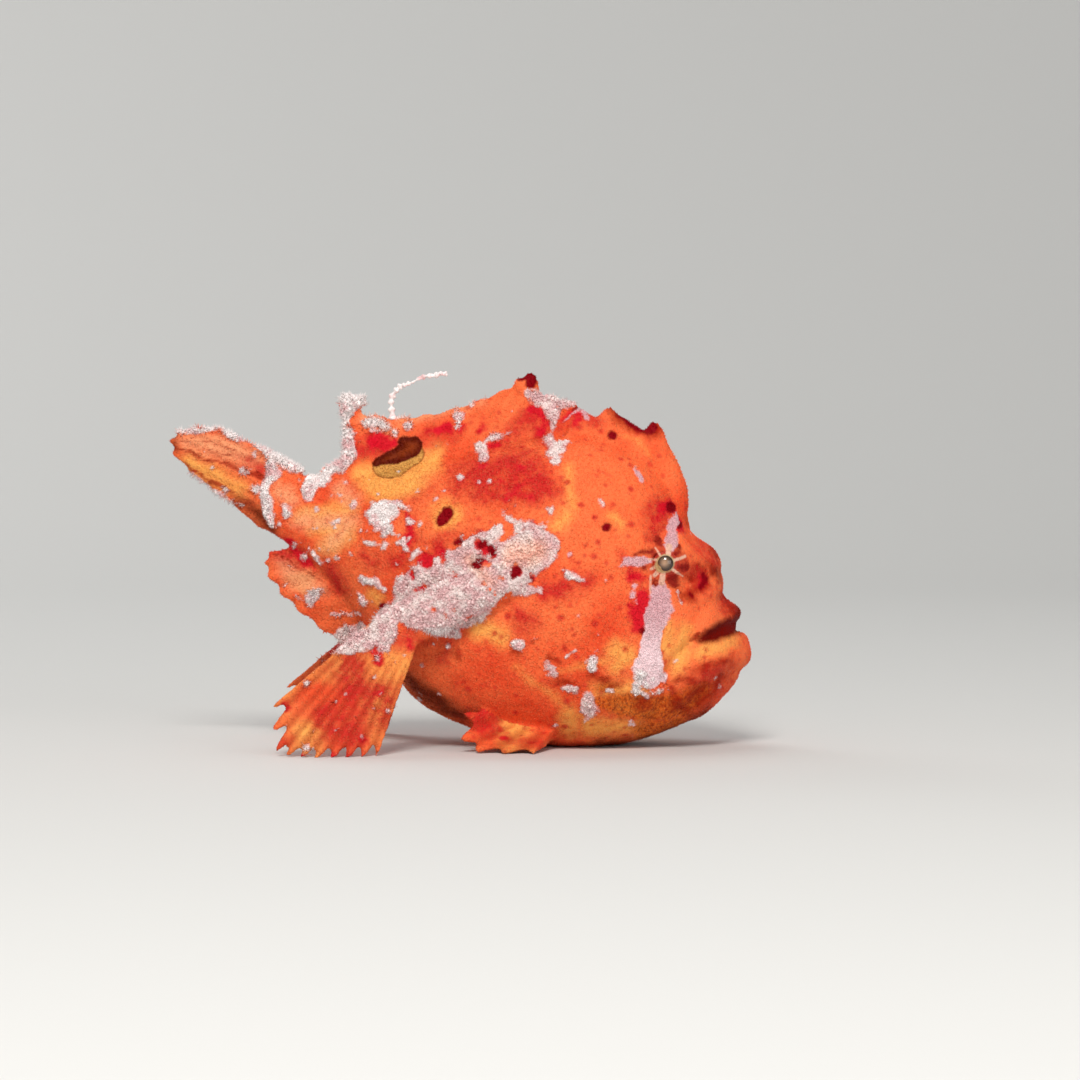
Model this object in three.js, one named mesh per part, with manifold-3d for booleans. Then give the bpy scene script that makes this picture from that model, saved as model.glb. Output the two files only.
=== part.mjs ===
// A young painted frogfish at life size, resting on its throat, its two pectoral hands and its two
// pelvic fins. Millimetres, +Z up. The head points along +X and the fish's right side faces -Y.
//
// The body is drawn in its own frame first: s runs from the tail to the snout, t from belly to back
// and y from the right flank to the left. That frame is then pitched nose down about the tail stalk,
// because the fish rests with its throat on the ground and its tail held up.

import * as THREE from 'three';
import { mergeVertices } from 'three/addons/utils/BufferGeometryUtils.js';
import Module from 'manifold-3d';

const wasm = await Module();
wasm.setup();

// How the body stands.
const PITCH = THREE.MathUtils.degToRad(15.5);
const STALK_X = -27.086;
const STALK_Z = 40.1;

// Thin cut left between parts that belong to one skin.
const CUT = 0.3;

// The body without its fins: [s, top, bottom, half width]. Rounded ends are added to both ends.
const BODY = [
  [-6, 7.0, -4.4, 2.3],
  [0, 6.6, -6.2, 3.4],
  [6, 8.8, -9.0, 5.4],
  [12, 11.6, -12.6, 8.2],
  [20, 15.5, -20.0, 12.6],
  [28, 19.8, -25.8, 16.2],
  [37, 24.3, -27.8, 18.4],
  [46, 26.2, -28.0, 19.2],
  [54, 25.0, -27.0, 18.8],
  [60, 21.0, -25.4, 17.6],
  [65, 15.4, -23.2, 16.0],
  [70, 13.2, -20.2, 13.9],
  [72.2, 11.2, -18.5, 12.7],
  [73.6, 7.6, -17.4, 11.8],
  [75.4, 5.4, -16.1, 10.8],
  [78, 4.4, -13.9, 9.0],
  [81, 3.4, -11.2, 7.0],
];
const TAIL_CAP = 2.5;
const SNOUT_CAP = 6;
const BELLY_SQUARENESS = 0.84;
const BACK_SQUARENESS = 1.05;

// Where the body is parted, as s along its axis.
const NECK_S = 44;
const STALK_S = 4;

// The mouth, as [s, t]: the slot runs from its corner forward along the lower lip, opens in front of
// the blunt upper lip, and comes back under that lip.
const MOUTH_CORNER = [71.3, -2.6];
const LOWER_LIP_EDGE = [
  [71.5, -2.85],
  [77.3, 0.0],
  [80.0, 0.1],
  [90.0, -0.8],
];
const UPPER_LIP_EDGE = [
  [90.0, 14.0],
  [79.4, 8.6],
  [78.5, 5.0],
  [77.6, 0.7],
];

// The crease that parts the lower jaw from the cheek, from the mouth corner to the throat, as [s, t].
const JAW_CREASE = [
  [71.3, -2.6],
  [68.6, -6.0],
  [67.4, -10.0],
  [68.4, -14.5],
  [66.2, -28],
];

// Eye.
const EYE_RADIUS = 3.4;
const EYE_AT = [62.6, 8.8];
const EYE_STANDS_OUT = 1.5;

// Fins: number of rays and thickness.
const DORSAL_RAYS = 12;
const CAUDAL_RAYS = 9;
const ANAL_RAYS = 7;
const PECTORAL_RAYS = 10;
const PELVIC_RAYS = 5;
const FIN_EDGE_HALF = 0.34;

// Colours of the live skin.
const ORANGE = 0xf2601d;
const DEEP_ORANGE = 0xe4431a;
const YELLOW_ORANGE = 0xf58a26;
const EYE_BROWN = 0x5a4326;

// Curves.

// Smooth value at x through rows [x, value...]: a cubic between rows, with slopes taken from both
// neighbours so that it neither kinks nor swings far.
function through(rows, column, x) {
  const last = rows.length - 1;
  const at = Math.min(Math.max(x, rows[0][0]), rows[last][0]);
  let i = 0;
  while (i < last - 1 && at > rows[i + 1][0]) {
    i += 1;
  }
  const slope = (k) => {
    const a = Math.max(k - 1, 0);
    const b = Math.min(k + 1, last);
    return (rows[b][column] - rows[a][column]) / (rows[b][0] - rows[a][0]);
  };
  const width = rows[i + 1][0] - rows[i][0];
  const f = (at - rows[i][0]) / width;
  const f2 = f * f;
  const f3 = f2 * f;
  return (2 * f3 - 3 * f2 + 1) * rows[i][column]
    + (f3 - 2 * f2 + f) * width * slope(i)
    + (3 * f2 - 2 * f3) * rows[i + 1][column]
    + (f3 - f2) * width * slope(i + 1);
}

// Body frame (s, t, y) to the world.
function stand(s, t, y) {
  return new THREE.Vector3(
    STALK_X + s * Math.cos(PITCH) + t * Math.sin(PITCH),
    y,
    STALK_Z - s * Math.sin(PITCH) + t * Math.cos(PITCH),
  );
}

// A power that keeps the sign.
function signedPower(x, p) {
  return Math.sign(x) * Math.abs(x) ** p;
}

// Closed surfaces.

// A closed surface from points and triangles, turned so that its faces look out.
function solid(points, triangles) {
  let six = 0;
  const a = new THREE.Vector3();
  for (const [i, j, k] of triangles) {
    six += points[i].dot(a.crossVectors(points[j], points[k]));
  }
  const order = six > 0 ? triangles : triangles.map(([i, j, k]) => [i, k, j]);
  return new wasm.Manifold(new wasm.Mesh({
    numProp: 3,
    vertProperties: Float32Array.from(points.flatMap((p) => [p.x, p.y, p.z])),
    triVerts: Uint32Array.from(order.flat()),
  }));
}

// A skin of rings: ring i has `around` points at(i / along, angle), and a single point closes each end.
function rings(at, along, around) {
  const points = [at(0, 0)];
  for (let i = 1; i < along; i += 1) {
    for (let j = 0; j < around; j += 1) {
      points.push(at(i / along, (j / around) * Math.PI * 2));
    }
  }
  points.push(at(1, 0));
  const end = points.length - 1;
  const ring = (i, j) => 1 + (i - 1) * around + (j % around);
  const triangles = [];
  for (let j = 0; j < around; j += 1) {
    triangles.push([0, ring(1, j + 1), ring(1, j)]);
    triangles.push([end, ring(along - 1, j), ring(along - 1, j + 1)]);
    for (let i = 1; i < along - 1; i += 1) {
      triangles.push([ring(i, j), ring(i, j + 1), ring(i + 1, j + 1)]);
      triangles.push([ring(i, j), ring(i + 1, j + 1), ring(i + 1, j)]);
    }
  }
  return solid(points, triangles);
}

// A fin: rays run from foot(u) to tip(u), u being 0 at one edge ray and 1 at the other. The middle
// sheet bows sideways by `bow` halfway out; its two faces stand `half(v)` off it, thicker at each ray.
// The margin falls back by `scallop` of a ray's length between two rays.
function fin({ foot, tip, rays, half, bow = 0, scallop = 0.05, ridge = 0.3, steps = 5, grow = 0 }) {
  const columns = (rays - 1) * 2;
  const sheet = (u, v) => {
    const point = foot(u).clone().lerp(tip(u), v);
    point.y += bow * Math.sin(Math.PI * v * 0.5);
    return point;
  };
  const rayness = (u) => Math.cos(Math.PI * (rays - 1) * u) ** 2;
  const reach = (u) => 1 - scallop * (1 - rayness(u)) + grow * 0.02;
  const across = (u, v) => {
    const step = 0.01;
    const du = sheet(Math.min(u + step, 1), v).sub(sheet(Math.max(u - step, 0), v));
    const dv = sheet(u, v + step).sub(sheet(u, v - step));
    return du.cross(dv).normalize();
  };
  const points = [];
  for (const side of [1, -1]) {
    for (let i = 0; i <= columns; i += 1) {
      const u = i / columns;
      for (let j = 0; j <= steps; j += 1) {
        const v = (j / steps) * reach(u);
        const thick = half(v, u) * (1 - ridge * (1 - rayness(u))) + grow;
        points.push(sheet(u, v).addScaledVector(across(u, v), side * Math.max(thick, 0.27)));
      }
    }
  }
  const row = steps + 1;
  const face = (columns + 1) * row;
  const id = (side, i, j) => side * face + i * row + j;
  const triangles = [];
  const quad = (a, b, c, d) => triangles.push([a, b, c], [a, c, d]);
  for (let i = 0; i < columns; i += 1) {
    for (let j = 0; j < steps; j += 1) {
      quad(id(0, i, j), id(0, i + 1, j), id(0, i + 1, j + 1), id(0, i, j + 1));
      quad(id(1, i, j), id(1, i, j + 1), id(1, i + 1, j + 1), id(1, i + 1, j));
    }
    quad(id(0, i, 0), id(1, i, 0), id(1, i + 1, 0), id(0, i + 1, 0));
    quad(id(0, i, steps), id(0, i + 1, steps), id(1, i + 1, steps), id(1, i, steps));
  }
  for (let j = 0; j < steps; j += 1) {
    quad(id(0, 0, j), id(0, 0, j + 1), id(1, 0, j + 1), id(1, 0, j));
    quad(id(0, columns, j), id(1, columns, j), id(1, columns, j + 1), id(0, columns, j + 1));
  }
  return solid(points, triangles);
}

// A limb or spine: round or flattened rings along a curve, closed with round ends. wide(u) lies in
// the plane of the curve and the up direction given, deep(u) across it.
function limb({ path, wide, deep, across, along = 12, around = 12 }) {
  const curve = new THREE.CatmullRomCurve3(path, false, 'centripetal');
  const at = (u, angle) => {
    const middle = curve.getPoint(u);
    const tangent = curve.getTangent(u);
    const side = across.clone().addScaledVector(tangent, -across.dot(tangent)).normalize();
    const flat = tangent.clone().cross(side);
    const end = Math.sqrt(Math.max(0, 1 - Math.max(0, Math.abs(2 * u - 1) * 5 - 4) ** 2));
    return middle
      .addScaledVector(side, deep(u) * end * Math.sin(angle))
      .addScaledVector(flat, wide(u) * end * Math.cos(angle));
  };
  return rings(at, along, around);
}

// A box with its centre and turn given.
function slab(x, y, z, centre, turnY = 0) {
  let geometry = new THREE.BoxGeometry(x, y, z);
  geometry.deleteAttribute('normal');
  geometry.deleteAttribute('uv');
  geometry = mergeVertices(geometry.rotateY(turnY).translate(centre.x, centre.y, centre.z));
  return new wasm.Manifold(new wasm.Mesh({
    numProp: 3,
    vertProperties: Float32Array.from(geometry.attributes.position.array),
    triVerts: Uint32Array.from(geometry.index.array),
  }));
}

// The largest body of a cut solid, so that no crumb stays behind.
function largest(manifold) {
  return manifold.decompose().reduce((a, b) => (a.volume() > b.volume() ? a : b));
}

// The body.

// A point of the body: u from the tail end to the snout, angle from the left flank over the back.
function bodyPoint(u, angle, grow) {
  const first = BODY[0][0] - TAIL_CAP - grow;
  const last = BODY[BODY.length - 1][0] + grow;
  const ease = u + 0.07 * Math.sin(2 * Math.PI * u) * -1;
  const s = first + (last - first) * ease;
  const tail = Math.min(1, Math.max(0, 1 - (s - first) / TAIL_CAP));
  const snout = Math.min(1, Math.max(0, (s - last + SNOUT_CAP) / SNOUT_CAP));
  const cap = Math.sqrt(Math.max(0, (1 - tail * tail) * (1 - snout * snout)));
  const top = through(BODY, 1, s);
  const bottom = through(BODY, 2, s);
  const half = through(BODY, 3, s);
  const middle = bottom + (top - bottom) * 0.46;
  const up = Math.sin(angle);
  const reach = up > 0 ? top - middle + grow : middle - bottom + grow;
  const power = up > 0 ? BACK_SQUARENESS : BELLY_SQUARENESS;
  return stand(
    s,
    middle + reach * cap * signedPower(up, power),
    (half + grow) * cap * signedPower(Math.cos(angle), power),
  );
}

function body(grow = 0) {
  return rings((u, angle) => bodyPoint(u, angle, grow), 36, 30);
}

const whole = body();
const outside = body(CUT);
const ground = slab(400, 400, 60, new THREE.Vector3(0, 0, -30));

// Flat cuts across the body axis.
function acrossAxis(s, thickness) {
  return slab(thickness, 120, 160, stand(s, 0, 0), PITCH);
}
const frontHalf = slab(200, 160, 200, stand(NECK_S + CUT / 2 + 100, 0, 0), PITCH);
const rearHalf = slab(200, 160, 200, stand(STALK_S - CUT / 2 - 100, 0, 0), PITCH);

// The gape: a wedge through the snout, open at the front, its corner on each cheek.
function prismAcross(outline) {
  const flat = outline.map(([s, t]) => new THREE.Vector2(s, t));
  if (THREE.ShapeUtils.isClockWise(flat)) {
    flat.reverse();
  }
  const points = [];
  for (const y of [-60, 60]) {
    for (const { x, y: t } of flat) {
      points.push(stand(x, t, y));
    }
  }
  const n = flat.length;
  const triangles = [];
  for (let i = 0; i < n; i += 1) {
    const j = (i + 1) % n;
    triangles.push([i, n + j, j], [i, n + i, n + j]);
  }
  for (const [a, b, c] of THREE.ShapeUtils.triangulateShape(flat, [])) {
    triangles.push([a, b, c], [n + a, n + c, n + b]);
  }
  return solid(points, triangles);
}

const gape = prismAcross([MOUTH_CORNER, ...LOWER_LIP_EDGE, ...UPPER_LIP_EDGE]);
const jawCut = prismAcross([
  ...JAW_CREASE,
  ...JAW_CREASE.map(([s, t]) => [s - CUT, t]).reverse(),
]);
const jawSpace = prismAcross([
  ...JAW_CREASE,
  [95, -28],
  [95, 0],
  [80, 0.3],
  [77.4, 0.3],
]);

// The eyes.

function sphere(radius, centre, along = 10, around = 14) {
  const at = (u, angle) => new THREE.Vector3(
    centre.x + radius * Math.sin(Math.PI * u) * Math.cos(angle),
    centre.y - radius * Math.cos(Math.PI * u),
    centre.z + radius * Math.sin(Math.PI * u) * Math.sin(angle),
  );
  return rings(at, along, around);
}

// How far out the flank is at a given s and t.
function flank(s, t) {
  const top = through(BODY, 1, s);
  const bottom = through(BODY, 2, s);
  const middle = bottom + (top - bottom) * 0.46;
  const power = t > middle ? BACK_SQUARENESS : BELLY_SQUARENESS;
  const up = Math.abs(t - middle) / (t > middle ? top - middle : middle - bottom);
  const sine = Math.min(1, up ** (1 / power));
  return through(BODY, 3, s) * Math.sqrt(1 - sine * sine) ** power;
}

function eyeCentre(side) {
  const out = flank(EYE_AT[0], EYE_AT[1]) + EYE_STANDS_OUT - EYE_RADIUS;
  return stand(EYE_AT[0], EYE_AT[1], side * out);
}

// The fins.

const row = (points) => {
  const curve = new THREE.CatmullRomCurve3(points.map(([s, t, y = 0]) => stand(s, t, y)));
  return (u) => curve.getPoint(u);
};
const rowInRoom = (points) => {
  const curve = new THREE.CatmullRomCurve3(points.map((p) => new THREE.Vector3(...p)));
  return (u) => curve.getPoint(u);
};

// The front edge ray is the longest; past it a low skin joins the fin to the third spine.
const dorsalFin = fin({
  foot: row([[2.6, 3.6], [6.5, 5.6], [10, 7.4], [15, 10.4], [22, 14.5], [30, 18.4], [40, 21.5]]),
  tip: row([
    [1.6, 8.2],
    [5.6, 12.4],
    [2.2, 20.6],
    [6.5, 19.6],
    [12.4, 20.6],
    [18.6, 23.2],
    [24.7, 27.0],
    [29.4, 30.8],
    [33.0, 34.0],
    [34.6, 31.2],
    [40.2, 31.2],
  ]),
  rays: DORSAL_RAYS + 4,
  half: (v, u) => (2.6 + 1.2 * u) * (1 - v) ** 1.3 + FIN_EDGE_HALF,
  scallop: 0.04,
  steps: 5,
});

const thirdShape = {
  foot: row([[40.6, 18], [46, 19], [52, 18], [59.5, 13]]),
  tip: row([
    [40.6, 30.6],
    [42.4, 30.0],
    [44.8, 29.5],
    [46.4, 31.6],
    [48.2, 30.9],
    [51.5, 29.9],
    [55.5, 28.6],
    [60.5, 22.5],
  ]),
  rays: 9,
  half: (v) => 5.4 * (1 - v) ** 0.8 + 0.8,
  scallop: 0,
  ridge: 0.04,
  steps: 4,
};
const thirdSpine = fin(thirdShape);

const secondShape = (grow) => ({
  path: [
    stand(60.2, 11.5, 0),
    stand(60.9, 16.0, 0),
    stand(60.6, 19.9, 0),
    stand(58.6, 23.6, 0),
    stand(56.3, 27.0, 0),
    stand(54.2, 31.2, 0),
  ],
  wide: (u) => 3.0 * (1 - u) ** 0.6 + 0.6 + grow,
  deep: (u) => 3.0 * (1 - u) ** 0.8 + 0.7 + grow,
  across: new THREE.Vector3(0, 1, 0),
  along: 11,
  around: 12,
});
const secondSpine = limb(secondShape(0));

const illicium = limb({
  path: [
    stand(65.4, 11.5, 1.4),
    stand(64.9, 15.6, 2.6),
    stand(62.6, 18.9, 4.6),
    stand(59.9, 22.6, 5.2),
    stand(57.2, 26.2, 4.4),
  ],
  wide: (u) => 0.55 - 0.15 * u,
  deep: (u) => 0.55 - 0.15 * u,
  across: new THREE.Vector3(0, 1, 0),
  along: 14,
  around: 6,
});
const esca = sphere(1.0, stand(56.8, 26.7, 4.3), 6, 8);

const caudalFin = fin({
  foot: row([[-1.5, 7.2], [-2.0, 3.8], [-2.0, 0.6], [-1.8, -2.4], [-1.0, -4.8]]),
  tip: row([
    [-17.6, 10.2],
    [-22.8, 8.8],
    [-25.2, 6.6],
    [-24.2, 4.0],
    [-18.4, 0.8],
    [-11.5, -1.8],
    [-6.6, -4.4],
  ]),
  rays: CAUDAL_RAYS,
  half: (v, u) => (1.5 - 0.4 * Math.abs(2 * u - 1)) * (1 - v) ** 0.6 + 0.5,
  scallop: 0.06,
  ridge: 0.45,
  steps: 6,
});

const analFin = fin({
  foot: row([[4.4, -4.6], [8.0, -7.6], [12.4, -11.6], [17.0, -15.4]]),
  tip: row([[-3.6, -8.2], [-3.4, -11.0], [0.6, -14.6], [6.4, -17.6], [13.2, -20.2]]),
  rays: ANAL_RAYS,
  half: (v) => 2.2 * (1 - v) ** 1.2 + FIN_EDGE_HALF + 0.06,
  scallop: 0.07,
  steps: 5,
});

// The limbs.

// The arm leaves the flank and runs back and down to the wrist; the hand's rays go on from there to
// the ground, spread like fingers.
const armShape = (side, grow) => ({
  path: [
    stand(43.0, 5.0, side * 13.0),
    stand(38.0, 1.0, side * 17.4),
    stand(32.0, -4.6, side * 18.8),
    stand(25.8, -10.2, side * 18.8),
    stand(20.0, -15.2, side * 18.0),
  ],
  wide: (u) => 5.4 - 0.9 * Math.sin(Math.PI * u) - u + grow,
  deep: (u) => 2.9 - 0.5 * u + grow,
  across: new THREE.Vector3(0, 1, 0),
  along: 12,
  around: 14,
});

const handShape = (side) => ({
  foot: rowInRoom([
    [-11.2, side * 17.6, 24.4],
    [-10.2, side * 18.0, 22.4],
    [-9.0, side * 18.2, 20.2],
    [-7.4, side * 17.8, 18.0],
  ]),
  tip: rowInRoom([
    [-31.0, side * 21.0, 8.0],
    [-30.0, side * 23.2, 0.2],
    [-25.0, side * 24.8, -0.8],
    [-19.0, side * 24.6, -0.8],
    [-13.2, side * 22.6, -0.4],
  ]),
  rays: PECTORAL_RAYS,
  half: (v) => 2.2 * (1 - v) ** 1.2 + 0.42,
  bow: side * 1.4,
  scallop: 0.14,
  ridge: 0.35,
  steps: 5,
});

const pelvicShape = (side) => ({
  foot: rowInRoom([
    [12.4, side * 7.0, 6.2],
    [13.6, side * 8.2, 4.2],
    [16.8, side * 9.2, 2.6],
  ]),
  tip: rowInRoom([
    [1.2, side * 14.6, 6.6],
    [1.0, side * 17.4, 1.0],
    [6.4, side * 20.4, -0.6],
    [13.2, side * 21.2, -0.6],
  ]),
  rays: PELVIC_RAYS,
  half: (v) => 1.3 * (1 - v) ** 0.9 + 0.42,
  bow: 0,
  scallop: 0.16,
  ridge: 0.35,
  steps: 4,
});

// Cuts between the parts.

const sockets = [1, -1].map((side) => sphere(EYE_RADIUS + CUT, eyeCentre(side)));
const bodyWithSockets = sockets.reduce((a, b) => a.subtract(b), whole).subtract(ground);
const headWhole = bodyWithSockets.intersect(frontHalf).subtract(gape);
const lowerJaw = largest(headWhole.intersect(jawSpace).subtract(jawCut));
const head = largest(headWhole.subtract(jawSpace).subtract(jawCut));
const trunk = largest(bodyWithSockets
  .subtract(frontHalf)
  .subtract(acrossAxis(NECK_S, CUT))
  .subtract(rearHalf)
  .subtract(acrossAxis(STALK_S, CUT)));
const tailStalk = largest(bodyWithSockets.intersect(rearHalf));

const fromBody = (piece) => largest(piece.subtract(outside).subtract(ground));
const secondGrown = limb(secondShape(CUT));

// The fish.

const fish = new THREE.Group();

function addPart(parent, name, manifold, color, roughness = 0.6) {
  const mesh = manifold.getMesh();
  const geometry = new THREE.BufferGeometry();
  geometry.setAttribute('position', new THREE.BufferAttribute(mesh.vertProperties, 3));
  geometry.setIndex(new THREE.BufferAttribute(mesh.triVerts, 1));
  geometry.computeVertexNormals();
  const material = new THREE.MeshStandardMaterial({ color, roughness, metalness: 0 });
  const part = new THREE.Mesh(geometry, material);
  part.name = name;
  parent.add(part);
}

const headGroup = new THREE.Group();
addPart(headGroup, 'head', head, ORANGE);
addPart(headGroup, 'lower_jaw', lowerJaw, ORANGE);
addPart(headGroup, 'second_dorsal_spine', fromBody(secondSpine), DEEP_ORANGE);
addPart(headGroup, 'third_dorsal_spine', fromBody(thirdSpine.subtract(secondGrown)), ORANGE);
addPart(headGroup, 'illicium', largest(illicium.add(esca).subtract(outside).subtract(secondGrown)), DEEP_ORANGE);
addPart(headGroup, 'eye_right', sphere(EYE_RADIUS, eyeCentre(-1)), EYE_BROWN, 0.1);
addPart(headGroup, 'eye_left', sphere(EYE_RADIUS, eyeCentre(1)), EYE_BROWN, 0.1);

const trunkGroup = new THREE.Group();
addPart(trunkGroup, 'trunk', trunk, ORANGE);
addPart(trunkGroup, 'soft_dorsal_fin', fromBody(dorsalFin), DEEP_ORANGE);
addPart(trunkGroup, 'anal_fin', fromBody(analFin), DEEP_ORANGE);
for (const [side, label] of [[-1, 'right'], [1, 'left']]) {
  const limbGroup = new THREE.Group();
  const arm = limb(armShape(side, 0));
  const armGrown = limb(armShape(side, CUT));
  addPart(limbGroup, `pectoral_arm_${label}`, fromBody(arm), ORANGE);
  addPart(limbGroup, `pectoral_hand_${label}`, fromBody(fin(handShape(side)).subtract(armGrown)), YELLOW_ORANGE);
  addPart(limbGroup, `pelvic_fin_${label}`, fromBody(fin(pelvicShape(side))), YELLOW_ORANGE);
  trunkGroup.add(limbGroup);
}

const tailGroup = new THREE.Group();
addPart(tailGroup, 'tail_stalk', tailStalk, ORANGE);
addPart(tailGroup, 'caudal_fin', fromBody(caudalFin), YELLOW_ORANGE);

fish.add(headGroup, trunkGroup, tailGroup);

export default fish;
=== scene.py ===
import bpy
import numpy as np
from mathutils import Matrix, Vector


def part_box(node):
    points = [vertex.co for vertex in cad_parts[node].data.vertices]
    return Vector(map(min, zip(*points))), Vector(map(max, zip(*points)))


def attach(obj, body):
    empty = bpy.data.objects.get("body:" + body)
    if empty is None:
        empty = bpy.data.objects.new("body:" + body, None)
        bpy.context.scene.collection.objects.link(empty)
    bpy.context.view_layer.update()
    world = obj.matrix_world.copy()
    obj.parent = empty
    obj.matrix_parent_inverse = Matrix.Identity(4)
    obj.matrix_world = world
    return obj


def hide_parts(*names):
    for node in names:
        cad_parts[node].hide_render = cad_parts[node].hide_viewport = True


# The looks of a young painted frogfish at life size: one skin over all its flesh, glassy eyes, and a
# coat of skin prickles, grains and fluff. Shapes are worked out in millimetres and put into the
# meshes in metres. The body frame is the solids' own: s runs from tail to snout, t from belly to
# back, y from the right flank to the left, pitched nose down about the tail stalk.

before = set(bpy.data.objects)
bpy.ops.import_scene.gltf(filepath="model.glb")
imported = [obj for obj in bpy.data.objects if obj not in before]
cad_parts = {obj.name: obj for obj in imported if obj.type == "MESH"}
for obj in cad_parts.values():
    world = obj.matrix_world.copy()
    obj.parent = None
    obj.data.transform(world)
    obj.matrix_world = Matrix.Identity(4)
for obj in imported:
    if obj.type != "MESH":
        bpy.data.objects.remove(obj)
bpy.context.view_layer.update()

# A millimetre in metres, and a depth for what lies outside everything.
MM = 0.001
FAR = -1e9
AHEAD, ACROSS, UP = np.eye(3)

# The photo's view, which the camera repeats: the point aimed at, the distance, the height looked down
# from, and the picture's width there, in metres and in the photo's pixels.
AIM = Vector((14.218, 0.0, 35.26)) * MM
DISTANCE = 900 * MM
ELEVATION = np.radians(2.5)
FRAME_WIDTH = 185.76 * MM
PHOTO_WIDTH = 1080

# How the body stands, as in the solids.
PITCH = np.radians(15.5)
STALK_X = -27.086
STALK_Z = 40.1

# The body without its fins: s, top, bottom, half width.
BODY = np.array([
    [-6, 7.0, -4.4, 2.3],
    [0, 6.6, -6.2, 3.4],
    [6, 8.8, -9.0, 5.4],
    [12, 11.6, -12.6, 8.2],
    [20, 15.5, -20.0, 12.6],
    [28, 19.8, -25.8, 16.2],
    [37, 24.3, -27.8, 18.4],
    [46, 26.2, -28.0, 19.2],
    [54, 25.0, -27.0, 18.8],
    [60, 21.0, -25.4, 17.6],
    [65, 15.4, -23.2, 16.0],
    [70, 13.2, -20.2, 13.9],
    [72.2, 11.2, -18.5, 12.7],
    [73.6, 7.6, -17.4, 11.8],
    [75.4, 5.4, -16.1, 10.8],
    [78, 4.4, -13.9, 9.0],
    [81, 3.4, -11.2, 7.0],
])
TAIL_CAP = 2.5
SNOUT_CAP = 6.0
MIDDLE_SHARE = 0.46
BACK_SQUARENESS = 1.05
BELLY_SQUARENESS = 0.84

# The skin lies this far inside the solids, which go out to the tips of the coat.
COAT_DEPTH = 0.3

# The skin's net: its even mesh width, and the least half thickness that the net can hold. A fin's
# web and rays are brought back to their own half thickness afterwards. A limb has a least half width,
# and a fin's grid goes out to this share of its sheet.
NET = 0.46
NET_HALF = 0.64
WEB_HALF = 0.17
RAY_HALF = 0.36
LIMB_HALF = 0.5
FIN_REACH = 0.985

# The net is halved this near to each eye, and creases beside the fins are rounded by this weight.
FINE_RADIUS = 6.0
CREASE_WEIGHT = 0.8

# The slot of the mouth as s, t: its corner, forward along the lower lip, round the front, and back
# down the blunt upper lip and under it.
GAPE = [(71.3, -2.6), (71.5, -2.85), (77.3, 0.0), (80.0, 0.1), (90.0, -0.8), (90.0, 14.0),
        (79.4, 8.6), (78.5, 5.0), (77.6, 0.8)]


# Numbers and curves.


def smooth(low, high, x):
    """0 below low, 1 above high, and 3f² - 2f³ of the share f between them."""
    f = np.clip((x - low) / (high - low), 0.0, 1.0)
    return f * f * (3.0 - 2.0 * f)


def bump(distance, width):
    """A soft hill: e to the minus (distance / width)²."""
    return np.exp(-((distance / width) ** 2))


def unit(vectors):
    """Each vector over its own length."""
    return vectors / np.maximum(np.linalg.norm(vectors, axis=-1, keepdims=True), 1e-12)


def through(column, x):
    """A smooth value at x through the body's rows: a cubic between two rows whose slope at each row
    is the rise between its two neighbours over their distance."""
    keys = BODY[:, 0]
    values = BODY[:, column]
    last = len(keys) - 1
    at = np.clip(x, keys[0], keys[-1])
    i = np.clip(np.searchsorted(keys, at, side="left") - 1, 0, last - 1)
    before = np.maximum(np.arange(last + 1) - 1, 0)
    after = np.minimum(np.arange(last + 1) + 1, last)
    slope = (values[after] - values[before]) / (keys[after] - keys[before])
    width = keys[i + 1] - keys[i]
    f = (at - keys[i]) / width
    return ((2 * f**3 - 3 * f**2 + 1) * values[i] + (f**3 - 2 * f**2 + f) * width * slope[i]
            + (3 * f**2 - 2 * f**3) * values[i + 1] + (f**3 - f**2) * width * slope[i + 1])


def stand(s, t, y):
    """Body frame to the world: s and t turned by the pitch about the tail stalk, y as it is."""
    x = STALK_X + s * np.cos(PITCH) + t * np.sin(PITCH)
    z = STALK_Z - s * np.sin(PITCH) + t * np.cos(PITCH)
    return np.stack(np.broadcast_arrays(x, y, z), axis=-1)


def body_frame(points):
    """World to the body frame: the pitch turned back. Gives s, t and y."""
    dx = points[..., 0] - STALK_X
    dz = points[..., 2] - STALK_Z
    s = dx * np.cos(PITCH) - dz * np.sin(PITCH)
    t = dx * np.sin(PITCH) + dz * np.cos(PITCH)
    return s, t, points[..., 1]


def row(*points):
    """Body frame points (s, t) or (s, t, y) as world points."""
    return np.array([stand(*(p if len(p) == 3 else (*p, 0.0))) for p in points])


def curve(points, u):
    """A smooth line through points at u from 0 to 1: between two points a cubic whose end slopes
    come from the neighbours, with each step's time the square root of its length."""
    n = len(points)
    ends = np.vstack([2 * points[0] - points[1], points, 2 * points[-1] - points[-2]])
    place = np.clip(u, 0.0, 1.0) * (n - 1)
    i = np.minimum(place.astype(int), n - 2)
    f = (place - i)[..., None]
    p0, p1, p2, p3 = (ends[i + k] for k in range(4))
    d0, d1, d2 = (np.sqrt(np.linalg.norm(b - a, axis=-1, keepdims=True)) + 1e-9
                  for a, b in ((p0, p1), (p1, p2), (p2, p3)))
    m1 = ((p1 - p0) / d0 - (p2 - p0) / (d0 + d1) + (p2 - p1) / d1) * d1
    m2 = ((p2 - p1) / d1 - (p3 - p1) / (d1 + d2) + (p3 - p2) / d2) * d1
    return (p1 + f * m1 + f**2 * (3 * (p2 - p1) - 2 * m1 - m2)
            + f**3 * (2 * (p1 - p2) + m1 + m2))


def heading(points, u, step):
    """The way that a curve runs at u, from two points a step to either side."""
    return unit(curve(points, np.minimum(u + step, 1)) - curve(points, np.maximum(u - step, 0)))


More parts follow.
